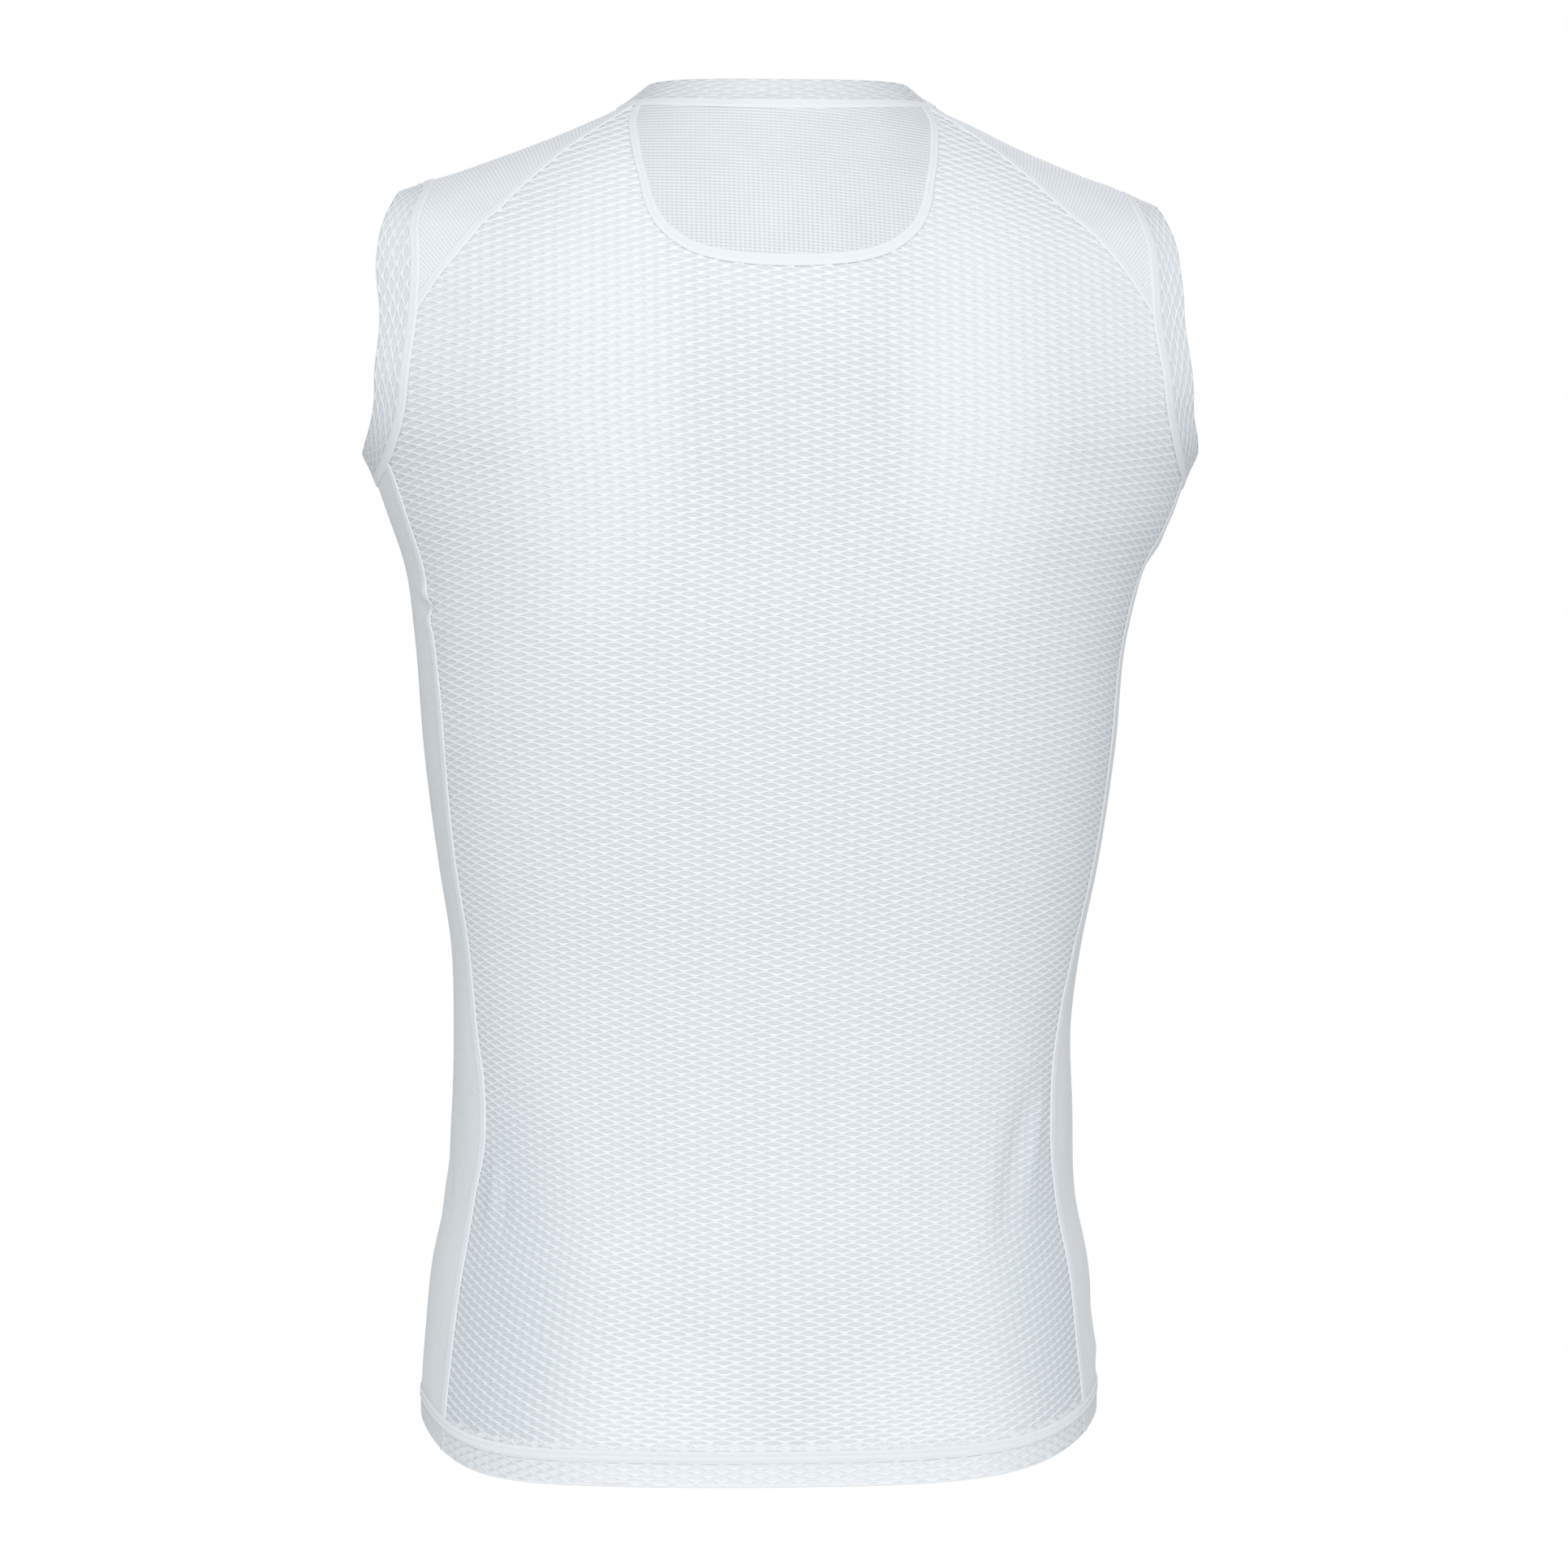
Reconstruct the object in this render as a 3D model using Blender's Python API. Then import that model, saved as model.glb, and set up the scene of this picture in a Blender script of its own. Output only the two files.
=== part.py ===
"""Cycling base layer vest, filled out as if worn, as ten cut pieces.

Metres, +Z up. The garment's front faces -Y and the wearer's left side is +X.
The origin is where the wearer's shoulders hold the vest: midway between the
two shoulder straps, level with the middle of each strap's upper ridge.

All ten pieces are regions of one smooth garment surface. The surface is a
stack of rings. Each ring runs once round the body from centre back to centre
back, the lowest is the hem and the last is the edge of the neck opening. The
arm openings are ovals left out of the upper rings. Seams are lines on that
surface, and each piece is a wall between its seams, 0.3 mm short of the next.
"""

import math

import bpy
import numpy as np
from mathutils import Vector
from mathutils.geometry import delaunay_2d_cdt

MM = 0.001
DEG = math.pi / 180.0

# ---------------------------------------------------------------- sizes, mm
SINGLE_WALL = 1.2      # one layer of the knit, with its texture
DOUBLE_WALL = 2.2      # folded bands and the folded hem
SEAM_GAP = 0.3         # between two pieces along a seam
HEM_STEP = 1.4         # length over which the hem's wall thins to one layer
GRID = 19.0            # spacing of the facets inside a piece
SEAM_STEP = 15.5       # spacing of the facets along a seam

# ---------------------------------------------------------------- the rings
# One row per ring, from the hem up. z_ and a_ are the height and half width at
# the two sides, z_back, z_front, y_back and y_front those of the centre lines.
# square makes a ring boxier than an ellipse, sway shifts it sideways, and
# turn says how near the side the height change between sides and centre is.
RING_COLUMNS = ("name", "z_left", "z_right", "z_back", "z_front", "a_left",
                "a_right", "y_back", "y_front", "square", "sway",
                "turn_left", "turn_right")
RINGS = (
    ("hem",        -627.2, -623.4, -648.6, -622.0, 165.2, 165.2, 112.0, -105.0, 0.030, 9.0, 9.0, 4.8),
    ("hem_fold",   -612.2, -608.4, -631.6, -605.0, 165.3, 165.3, 111.0, -105.0, 0.030, 9.0, 8.3, 4.8),
    ("seat",       -583.0, -581.0, -601.0, -579.0, 163.6, 163.6, 109.0, -105.5, 0.030, 8.8, 6.0, 4.0),
    ("hip",        -552.0, -551.0, -565.0, -549.0, 160.8, 160.8, 103.5, -106.0, 0.030, 8.5, 3.5, 3.0),
    ("high_hip",   -520.0, -520.0, -528.0, -518.0, 154.5, 154.5,  98.0, -106.0, 0.028, 8.2, 2.0, 2.0),
    ("low_waist",  -476.0, -476.0, -480.0, -475.0, 151.8, 152.8,  94.0, -106.5, 0.026, 7.8, 2.0, 2.0),
    ("waist",      -434.0, -434.0, -436.0, -434.0, 151.4, 151.8,  93.0, -107.5, 0.025, 7.4, 2.0, 2.0),
    ("over_waist", -400.0, -400.0, -401.0, -400.0, 153.8, 154.8,  95.5, -109.5, 0.024, 6.0, 2.0, 2.0),
    ("ribs",       -356.0, -356.0, -356.0, -357.0, 161.4, 162.8, 102.0, -113.5, 0.022, 5.0, 2.0, 2.0),
    ("low_chest",  -300.0, -300.0, -300.0, -303.0, 169.4, 170.2, 110.0, -118.0, 0.018, 4.0, 2.0, 2.0),
    ("chest",      -244.0, -244.0, -246.0, -250.0, 175.0, 175.2, 115.0, -121.0, 0.012, 3.0, 2.0, 2.0),
    ("under_arm",  -212.0, -212.0, -218.0, -222.0, 180.8, 182.6, 116.0, -121.5, 0.006, 1.6, 2.0, 2.0),
    ("arm_foot",   -186.0, -186.0, -197.0, -203.0, 190.4, 195.0, 116.0, -121.5, 0.002, 0.6, 2.0, 2.0),
    ("arm_low",    -164.0, -164.0, -180.0, -190.0, 199.2, 202.6, 115.5, -121.0, 0.000, 0.0, 2.0, 2.0),
    ("arm_mid",    -138.0, -138.0, -160.0, -176.0, 213.6, 216.4, 114.5, -120.0, 0.000, 0.0, 2.0, 2.0),
    ("arm_wide",   -110.0, -110.0, -138.0, -162.0, 225.5, 226.5, 113.0, -118.5, 0.000, 0.0, 2.0, 2.0),
    ("arm_high",    -80.0,  -82.0, -116.0, -149.0, 226.0, 225.0, 111.0, -116.0, 0.000, 0.0, 2.0, 2.0),
    ("arm_over",    -56.0,  -62.0,  -98.0, -138.0, 223.5, 219.5, 108.0, -113.5, 0.000, 0.0, 2.0, 2.0),
    ("arm_top",     -42.0,  -49.0,  -86.0, -129.0, 214.5, 211.5, 105.5, -111.0, 0.000, 0.0, 2.0, 2.0),
    ("point",       -33.5,  -39.0,  -76.0, -121.0, 200.5, 198.5, 103.0, -108.0, 0.000, 0.0, 2.0, 2.0),
    ("strap_outer", -27.0,  -31.0,  -67.0, -113.0, 180.0, 180.0, 100.0, -105.0, 0.000, 0.0, 2.0, 2.0),
    ("strap_1",     -19.2,  -22.0,  -55.0, -103.0, 158.0, 158.0,  95.5, -100.5, 0.000, 0.0, 2.0, 2.0),
    ("strap_2",     -11.2,  -13.0,  -42.0,  -93.0, 136.0, 136.0,  90.5,  -95.0, 0.000, 0.0, 2.0, 2.0),
    ("strap_3",      -3.2,   -4.0,  -26.0,  -83.0, 115.0, 115.0,  83.5,  -89.0, 0.000, 0.0, 2.0, 2.0),
    ("strap_inner",   4.8,    5.3,  -10.0,  -73.0,  96.0,  96.0,  75.5,  -82.0, 0.000, 0.0, 2.0, 2.0),
    ("neck_seam",    14.0,   14.0,    7.8,  -62.0,  77.0,  77.0,  66.0,  -74.0, 0.000, 0.0, 2.0, 2.0),
    ("neck_edge",    24.5,   24.5,   20.8,  -49.0,  63.5,  63.5,  60.0,  -64.0, 0.000, 0.0, 2.0, 2.0),
)

# ---------------------------------------------------------------- the seams
# Seam tables give u in degrees round the body from centre back, at heights v,
# in mm along the side of the body from the hem edge.
SIDE_SEAM_COLUMNS = ("v", "back_left", "back_right", "front")
SIDE_SEAMS = (
    (0.0,   67.0, 67.0, 113.0),
    (45.0,  65.0, 64.3, 114.5),
    (80.0,  63.6, 63.5, 115.5),
    (110.0, 64.0, 63.2, 115.5),
    (137.0, 61.4, 61.8, 116.5),
    (163.0, 62.6, 63.0, 115.5),
    (190.0, 66.4, 67.0, 113.0),
    (213.0, 68.6, 70.0, 111.0),
    (240.0, 70.0, 73.0, 110.0),
    (280.0, 70.4, 75.0, 109.0),
    (340.0, 69.4, 75.4, 108.5),
    (395.0, 71.8, 77.6, 107.5),
    (430.0, 72.8, 79.0, 106.5),
    (470.0, 73.0, 80.0, 105.0),
)

# back yoke: from the neck seam down round the U, half of it
YOKE_COLUMNS = ("v", "u")
YOKE = (
    ("neck", 63.0),
    (730.0, 54.0),
    (716.0, 45.0),
    (700.0, 37.3),
    (684.0, 31.2),
    (667.0, 26.4),
    (654.0, 22.8),
    (642.5, 18.9),
    (633.0, 14.8),
    (627.2, 10.4),
    (624.6, 5.2),
    (624.0, 0.0),
)

# shoulder panel: back and front seams, from the neck seam to the arm band
SHOULDER_COLUMNS = ("v", "back_left", "back_right", "front")
SHOULDER = (
    ("neck", 67.0, 67.0, 116.0),
    (720.0,  64.6, 64.4, 119.0),
    (700.0,  61.7, 62.2, 121.5),
    (680.0,  58.0, 58.5, 124.5),
    (655.0,  53.8, 54.0, 128.5),
    (625.0,  49.5, 50.3, 131.5),
    (602.0,  47.0, 48.8, 132.0),
    (578.0,  48.3, 50.2, 130.4),
    ("arm",  None, None, None),
)

# arm opening: an oval, middle at v, reaching round to the back and the front
ARM_MIDDLE_V = 552.0
ARM_HALF_HEIGHT = 90.0
ARM_REACH_BACK = 36.5         # degrees from the side line
ARM_REACH_FRONT = 38.0
ARM_BAND_WIDTH = 15.5         # from the oval in to the band's free edge
# at the back the band's seam lies outside the oval: by out, in degrees, and by
# more round one place near the top, more_at and more_spread in degrees of theta
ARM_SEAM_COLUMNS = ("side", "out", "more", "more_at", "more_spread")
ARM_SEAM = (
    ("left",  1.2, 1.8, 20.0, 13.0),
    ("right", 0.9, 0.0, 20.0, 13.0),
)
SHOULDER_MEETS_ARM = 4.0      # degrees above the oval's middle line


# ---------------------------------------------------------------- surface
def column(table, columns, name):
    return np.array([row[columns.index(name)] for row in table], float)


class Rings:
    """Smooth curves through the ring table, read by v, the side's length."""

    def __init__(self):
        names = RING_COLUMNS[1:]
        self.names = [row[0] for row in RINGS]
        self.table = np.stack([column(RINGS, RING_COLUMNS, n) for n in names], 1)
        lengths = [n in ("square", "turn_left", "turn_right") for n in names]
        self.table[:, ~np.array(lengths)] *= MM
        at = {n: i for i, n in enumerate(names)}
        self.at = at
        z = (self.table[:, at["z_left"]] + self.table[:, at["z_right"]]) / 2
        a = (self.table[:, at["a_left"]] + self.table[:, at["a_right"]]) / 2
        self.v = np.concatenate([[0.0], np.cumsum(np.hypot(np.diff(z), np.diff(a)))])
        step = np.diff(self.v)[:, None]
        rate = np.diff(self.table, axis=0) / step
        slope = np.zeros_like(self.table)
        slope[1:-1] = (rate[:-1] * step[1:] + rate[1:] * step[:-1]) / (step[1:] + step[:-1])
        slope[0] = 2 * rate[0] - slope[1]
        slope[-1] = 2 * rate[-1] - slope[-2]
        self.slope = slope

    def v_of(self, name):
        return float(self.v[self.names.index(name)])

    def read(self, v):
        k = np.clip(np.searchsorted(self.v, v, side="right") - 1, 0, len(self.v) - 2)
        h = self.v[k + 1] - self.v[k]
        t = (v - self.v[k]) / h
        t2, t3 = t * t, t * t * t
        weights = (2 * t3 - 3 * t2 + 1, (t3 - 2 * t2 + t) * h, -2 * t3 + 3 * t2, (t3 - t2) * h)
        parts = (self.table[k], self.slope[k], self.table[k + 1], self.slope[k + 1])
        return sum(w[..., None] * p for w, p in zip(weights, parts))


RING_STACK = Rings()
V_FOLD = RING_STACK.v_of("hem_fold")
V_NECK = RING_STACK.v_of("neck_seam")
V_TOP = RING_STACK.v_of("neck_edge")


def surface(u, v):
    """Point of the garment at u (radians from centre back, +X side positive)
    and v (metres up the side from the hem)."""
    u, v = np.broadcast_arrays(np.asarray(u, float), np.asarray(v, float))
    row = RING_STACK.read(v)
    at = RING_STACK.at
    s, c = np.sin(u), np.cos(u)
    k = row[..., at["square"]]
    across = (s + k * np.sin(3 * u)) / (1 - k)
    along = (c - k * np.cos(3 * u)) / (1 - k)
    a = np.where(s >= 0, row[..., at["a_left"]], row[..., at["a_right"]])
    side = np.where(s >= 0, row[..., at["z_left"]], row[..., at["z_right"]])
    b = np.where(c >= 0, row[..., at["y_back"]], -row[..., at["y_front"]])
    centre = np.where(c >= 0, row[..., at["z_back"]], row[..., at["z_front"]])
    turn = np.where(s >= 0, row[..., at["turn_left"]], row[..., at["turn_right"]])
    rise = np.abs(s) ** turn
    x = a * across + row[..., at["sway"]]
    y = b * along
    z = centre + (side - centre) * rise
    return np.stack([x, y, z], -1)


def outward(u, v):
    """Unit normal of the garment, away from the wearer."""
    e = 2e-4
    v = np.clip(v, e, V_TOP - e)
    du = surface(u + 4 * e, v) - surface(u - 4 * e, v)
    dv = surface(u, v + e) - surface(u, v - e)
    n = np.cross(dv, du)
    return n / np.linalg.norm(n, axis=-1, keepdims=True)


# ---------------------------------------------------------------- seam lines
def smooth_line(points, step):
    """Points along a smooth curve through the given ones, about step apart.
    Distances are taken on the garment."""
    p = np.array(points, float)
    q = surface(p[:, 0], p[:, 1])
    t = np.concatenate([[0.0], np.cumsum(np.linalg.norm(np.diff(q, axis=0), axis=1))])
    h = np.diff(t)[:, None]
    rate = np.diff(p, axis=0) / h
    slope = np.zeros_like(p)
    slope[1:-1] = (rate[:-1] * h[1:] + rate[1:] * h[:-1]) / (h[1:] + h[:-1])
    slope[0], slope[-1] = rate[0], rate[-1]
    n = max(2, int(round(t[-1] / step)))
    s = np.linspace(0, t[-1], n + 1)
    k = np.clip(np.searchsorted(t, s, side="right") - 1, 0, len(t) - 2)
    f = ((s - t[k]) / h[k, 0])[:, None]
    f2, f3 = f * f, f * f * f
    out = ((2 * f3 - 3 * f2 + 1) * p[k] + (f3 - 2 * f2 + f) * h[k] * slope[k]
           + (-2 * f3 + 3 * f2) * p[k + 1] + (f3 - f2) * h[k] * slope[k + 1])
    out[0], out[-1] = p[0], p[-1]
    return out


def arm_point(side, theta, inset=0.0):
    """Point of the arm opening's oval. theta is 0 at its back, 90 degrees at
    its top. inset moves it into the opening, in metres."""
    back = math.cos(theta) >= 0
    reach = (ARM_REACH_BACK if back else ARM_REACH_FRONT) * DEG
    u = math.pi / 2 - reach * math.cos(theta)
    v = (ARM_MIDDLE_V + ARM_HALF_HEIGHT * math.sin(theta)) * MM
    if inset:
        e = 1e-4
        steps = 4
        for _ in range(steps):
            here = surface(u, v)
            su = (surface(u + e, v) - here) / e
            sv = (surface(u, v + e) - here) / e
            # along the oval, then square to it on the garment, inwards
            tu = reach * math.sin(theta)
            tv = ARM_HALF_HEIGHT * MM * math.cos(theta)
            along = su * tu + sv * tv
            across = np.cross(np.cross(su, sv), along)
            across /= np.linalg.norm(across)
            g = np.array([[su @ su, su @ sv], [su @ sv, sv @ sv]])
            du, dv = np.linalg.solve(g, np.array([su @ across, sv @ across]))
            toward = du * (math.pi / 2 - u) + dv * (ARM_MIDDLE_V * MM - v)
            sign = 1.0 if toward > 0 else -1.0
            u += sign * du * inset / steps
            v += sign * dv * inset / steps
    return (side * u, v)


def arm_seam_point(side, theta):
    """Point of the seam between the arm band and the body."""
    u, v = arm_point(side, theta)
    if math.cos(theta) > 0:
        _, out, more, at, spread = ARM_SEAM[0 if side > 0 else 1]
        far = (theta / DEG - at) / spread
        u -= side * (out + more * math.exp(-far * far)) * DEG * math.cos(theta)
    return (u, v)


def arm_angle(u_degrees):
    """theta on the lower half of the oval where it crosses a side seam."""
    back = u_degrees <= 90
    reach = ARM_REACH_BACK if back else ARM_REACH_FRONT
    return -math.acos((90 - u_degrees) / reach)


def between(stops, step_count):
    """Values running through all the stops, each stretch divided evenly."""
    out = [stops[0]]
    for lo, hi in zip(stops, stops[1:]):
        n = step_count(lo, hi)
        out += [lo + (hi - lo) * (i + 1) / n for i in range(n)]
    return out


def arm_thetas(side):
    seam = "back_left" if side > 0 else "back_right"
    top = SIDE_SEAMS[-1]
    foot_back = arm_angle(top[SIDE_SEAM_COLUMNS.index(seam)])
    foot_front = arm_angle(top[SIDE_SEAM_COLUMNS.index("front")])
    meet = SHOULDER_MEETS_ARM * DEG
    stops = [foot_front, foot_back, meet, math.pi - meet, foot_front + 2 * math.pi]
    size = 0.5 * (ARM_HALF_HEIGHT * MM + 0.085)
    thetas = between(stops, lambda lo, hi: max(2, round((hi - lo) * size / (SEAM_STEP * MM))))
    return thetas[:-1], foot_back, foot_front


def seam_lines():
    """Every seam and edge as a line of (u, v) points."""
    lines = {}
    step = SEAM_STEP * MM
    for side, tag in ((1, "left"), (-1, "right")):
        thetas, foot_back, foot_front = arm_thetas(side)
        loop = [arm_seam_point(side, t) for t in thetas]
        lines["arm_seam_" + tag] = loop + [loop[0]]
        edge = [arm_point(side, t, ARM_BAND_WIDTH * MM) for t in thetas]
        lines["arm_edge_" + tag] = edge + [edge[0]]

        for name, foot in (("back", foot_back), ("front", foot_front)):
            col = "front" if name == "front" else "back_" + tag
            rows = [(side * row[SIDE_SEAM_COLUMNS.index(col)] * DEG, row[0] * MM)
                    for row in SIDE_SEAMS[:-1]]
            rows.append(arm_seam_point(side, foot))
            lines["side_%s_%s" % (name, tag)] = smooth_line(rows, step * 1.2)

        for name, theta in (("back", SHOULDER_MEETS_ARM * DEG),
                            ("front", math.pi - SHOULDER_MEETS_ARM * DEG)):
            col = "front" if name == "front" else "back_" + tag
            rows = []
            for row in SHOULDER:
                if row[0] == "arm":
                    rows.append(arm_seam_point(side, theta))
                else:
                    v = V_NECK if row[0] == "neck" else row[0] * MM
                    rows.append((side * row[SHOULDER_COLUMNS.index(col)] * DEG, v))
            lines["shoulder_%s_%s" % (name, tag)] = smooth_line(rows, step)

    half = [(u * DEG, V_NECK if v == "neck" else v * MM) for v, u in YOKE]
    whole = half + [(-u, v) for u, v in reversed(half[:-1])]
    lines["yoke"] = smooth_line(whole, step)

    def ring(v, stops):
        def count(lo, hi):
            m = surface(np.linspace(lo, hi, 9), np.full(9, v))
            return max(1, round(float(np.linalg.norm(np.diff(m, axis=0), axis=1).sum()) / step))
        stops = sorted([-math.pi, math.pi] + stops)
        return [(u, v) for u in between(stops, count)]

    def at_height(name, v):
        line = np.array(lines[name])
        order = np.argsort(line[:, 1])
        return float(np.interp(v, line[order, 1], line[order, 0]))

    sides = ["side_back_left", "side_front_left", "side_back_right", "side_front_right"]
    for name, v in (("hem", 0.0), ("fold_low", V_FOLD), ("fold_high", V_FOLD + HEM_STEP * MM)):
        stops = [at_height(s, v) for s in sides]
        lines[name] = ring(v, stops)
        for s, u in zip(sides, stops):
            line = [tuple(p) for p in lines[s]]
            if v > 0:
                line = [p for p in line if abs(p[1] - v) > 0.005] + [(u, v)]
                if name == "fold_high":
                    line = [p for p in line if p[1] <= V_FOLD or p[1] == v or p[1] > v + 0.005]
                    low = float(at_height(s, V_FOLD))
                    line.append((low, V_FOLD))
                line = sorted(set(line), key=lambda p: p[1])
            lines[s] = line
    lines["neck_seam"] = ring(V_NECK, [
        s * x * DEG for s in (1, -1) for x in (YOKE[0][1], SHOULDER[0][1], SHOULDER[0][3])])
    lines["neck_edge"] = [(u, V_TOP) for u, _ in lines["neck_seam"]]
    for name, u in (("cut_left", math.pi), ("cut_right", -math.pi)):
        levels = [0.0, V_FOLD, V_FOLD + HEM_STEP * MM, V_NECK, V_TOP]
        lines[name] = [(u, v) for v in between(
            levels, lambda lo, hi: max(1, round((hi - lo) / (GRID * MM))))]
    return lines


# ---------------------------------------------------------------- facets
CHART = 0.150      # metres on the garment for one radian of u, on average


def to_chart(p):
    return (p[0] * CHART, p[1])


def triangulate(lines):
    """One net of triangles over the whole garment, with every seam in it."""
    points, index, edges = [], {}, []

    def add(p):
        key = (round(p[0] * CHART, 7), round(p[1], 7))
        if key not in index:
            index[key] = len(points)
            points.append(to_chart(p))
        return index[key]

    marks = []
    for line in lines.values():
        ids = [add(p) for p in line]
        edges += [(a, b) for a, b in zip(ids, ids[1:]) if a != b]
        c = np.array([to_chart(p) for p in line])
        marks.append((c[:-1], c[1:]))
    seg_a = np.concatenate([m[0] for m in marks])
    seg_b = np.concatenate([m[1] for m in marks])

    def clearance(q):
        d = seg_b - seg_a
        t = np.clip(((q - seg_a) * d).sum(1) / np.maximum((d * d).sum(1), 1e-12), 0, 1)
        return float(np.linalg.norm(seg_a + d * t[:, None] - q, axis=1).min())

    g = GRID * MM
    rows = int(V_TOP / (g * 0.95)) + 1
    columns = int(2 * math.pi * CHART / g)
    for j in range(1, rows):
        v = V_TOP * j / rows
        for i in range(columns):
            u = -math.pi + 2 * math.pi * (i + (0.5 if j % 2 else 0.0)) / columns
            q = np.array([u * CHART, v])
            if abs(u) < math.pi - 1e-6 and clearance(q) > 0.48 * g:
                points.append((float(q[0]), float(q[1])))

    result = delaunay_2d_cdt([Vector(p) for p in points], edges, [], 0, 1e-7, True)
    verts = np.array([(p[0] / CHART, p[1]) for p in result[0]])
    fixed = {tuple(sorted(e)) for e, source in zip(result[1], result[4]) if source}
    return verts, result[2], fixed


def regions(faces, fixed):
    """Triangles in groups that no seam divides."""
    by_edge = {}
    for f, face in enumerate(faces):
        for a, b in zip(face, face[1:] + face[:1]):
            by_edge.setdefault(tuple(sorted((a, b))), []).append(f)
    group = [-1] * len(faces)
    count = 0
    for start in range(len(faces)):
        if group[start] >= 0:
            continue
        stack = [start]
        group[start] = count
        while stack:
            f = stack.pop()
            face = faces[f]
            for a, b in zip(face, face[1:] + face[:1]):
                edge = tuple(sorted((a, b)))
                if edge in fixed:
                    continue
                for other in by_edge[edge]:
                    if group[other] < 0:
                        group[other] = count
                        stack.append(other)
        count += 1
    return group, count


# name, and (u in degrees, v in mm) inside each region that the piece takes:
# below the fold, in the thinning strip, and above it where the piece is hemmed
STRIP_V = V_FOLD / MM + HEM_STEP / 2
PIECES = (
    ("back_panel",           "eyelet", ((0, 8), (0, STRIP_V), (0, 300))),
    ("front_panel",          "eyelet", ((170, 8), (170, STRIP_V), (170, 300),
                                        (-170, 8), (-170, STRIP_V), (-170, 300))),
    ("side_panel_left",      "rib",    ((90, 8), (90, STRIP_V), (90, 300))),
    ("side_panel_right",     "rib",    ((-90, 8), (-90, STRIP_V), (-90, 300))),
    ("back_yoke",            "pore",   ((0, 690),)),
    ("shoulder_panel_left",  "pore",   ((90, 700),)),
    ("shoulder_panel_right", "pore",   ((-90, 700),)),
    ("neck_band",            "band",   ((0, (V_NECK + V_TOP) / 2 / MM),)),
    ("arm_band_left",        "band",   ("arm", 1)),
    ("arm_band_right",       "band",   ("arm", -1)),
)


def inside(p, tri):
    (ax, ay), (bx, by), (cx, cy) = tri
    d1 = (bx - ax) * (p[1] - ay) - (by - ay) * (p[0] - ax)
    d2 = (cx - bx) * (p[1] - by) - (cy - by) * (p[0] - bx)
    d3 = (ax - cx) * (p[1] - cy) - (ay - cy) * (p[0] - cx)
    return (d1 >= 0 and d2 >= 0 and d3 >= 0) or (d1 <= 0 and d2 <= 0 and d3 <= 0)


def region_at(p, verts, faces, group):
    for f, face in enumerate(faces):
        if inside(p, [verts[i] for i in face]):
            return group[f]
    raise ValueError("no region at %r" % (p,))


def wall_half(v, kind):
    """Half the wall's thickness at v."""
    if kind == "band" or v <= V_FOLD + 1e-6:
        return DOUBLE_WALL * MM / 2
    return SINGLE_WALL * MM / 2


def build_piece(name, kind, chosen, verts, faces, group, material):
    """A closed wall over the chosen regions, short of its neighbours."""
    picked = [faces[f] for f in range(len(faces)) if group[f] in chosen]
    # weld the two edges of the cut down the centre front
    uv, remap, key_of = [], {}, {}
    for face in picked:
        for i in face:
            if i in remap:
                continue
            u, v = verts[i]
            key = (round(abs(u) if abs(abs(u) - math.pi) < 1e-6 else u, 6), round(v, 6))
            if key not in key_of:
                key_of[key] = len(uv)
                uv.append((u, v))
            remap[i] = key_of[key]
    uv = np.array(uv)
    tris = [[remap[i] for i in face] for face in picked]
    tris = [t for t in tris if len(set(t)) == 3]
    p = surface(uv[:, 0], uv[:, 1])
    n = outward(uv[:, 0], uv[:, 1])

    # turn every triangle to face outwards
    for t in tris:
        facing = np.cross(p[t[1]] - p[t[0]], p[t[2]] - p[t[0]]) @ (n[t[0]] + n[t[1]] + n[t[2]])
        if facing < 0:
            t[1], t[2] = t[2], t[1]

    directed = {(a, b) for t in tris for a, b in zip(t, t[1:] + t[:1])}
    rim = [(a, b) for a, b in sorted(directed) if (b, a) not in directed]
    after = {a: b for a, b in rim}
    before = {b: a for a, b in rim}
    assert len(after) == len(rim), name

    moved = p.copy()
    for i in after:
        e1 = p[i] - p[before[i]]
        e2 = p[after[i]] - p[i]
        n1 = np.cross(n[i], e1)
        n2 = np.cross(n[i], e2)
        n1 /= np.linalg.norm(n1)
        n2 /= np.linalg.norm(n2)
        miter = (n1 + n2) / max(1 + n1 @ n2, 0.3)
        moved[i] = p[i] + miter * (SEAM_GAP * MM / 2)

    half = np.array([wall_half(v, kind) for v in uv[:, 1]])[:, None]
    outer, inner = moved + n * half, moved - n * half
    count = len(uv)
    mesh_faces = [tuple(t) for t in tris]
    mesh_faces += [tuple(i + count for i in reversed(t)) for t in tris]
    for a, b in rim:
        mesh_faces.append((b, a, a + count))
        mesh_faces.append((b, a + count, b + count))
    mesh = bpy.data.meshes.new(name)
    mesh.from_pydata([tuple(q) for q in np.concatenate([outer, inner])], [], mesh_faces)
    mesh.validate()
    mesh.shade_smooth()
    mesh.set_sharp_from_angle(angle=math.radians(40))
    mesh.materials.append(material)
    ob = bpy.data.objects.new(name, mesh)
    bpy.context.scene.collection.objects.link(ob)
    return ob


# ---------------------------------------------------------------- cloth
CLOTH_COLUMNS = ("name", "colour", "roughness")
CLOTH = (
    ("eyelet", (0.84, 0.87, 0.88), 0.75),
    ("pore",   (0.82, 0.85, 0.86), 0.72),
    ("rib",    (0.70, 0.74, 0.75), 0.68),
    ("band",   (0.85, 0.88, 0.89), 0.75),
)


def make_cloth(name, colour, roughness):
    mat = bpy.data.materials.new(name)
    mat.use_nodes = True
    shader = mat.node_tree.nodes["Principled BSDF"]
    shader.inputs["Base Color"].default_value = (*colour, 1.0)
    shader.inputs["Roughness"].default_value = roughness
    shader.inputs["Metallic"].default_value = 0.0
    mat.diffuse_color = (*colour, 1.0)
    return mat


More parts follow.
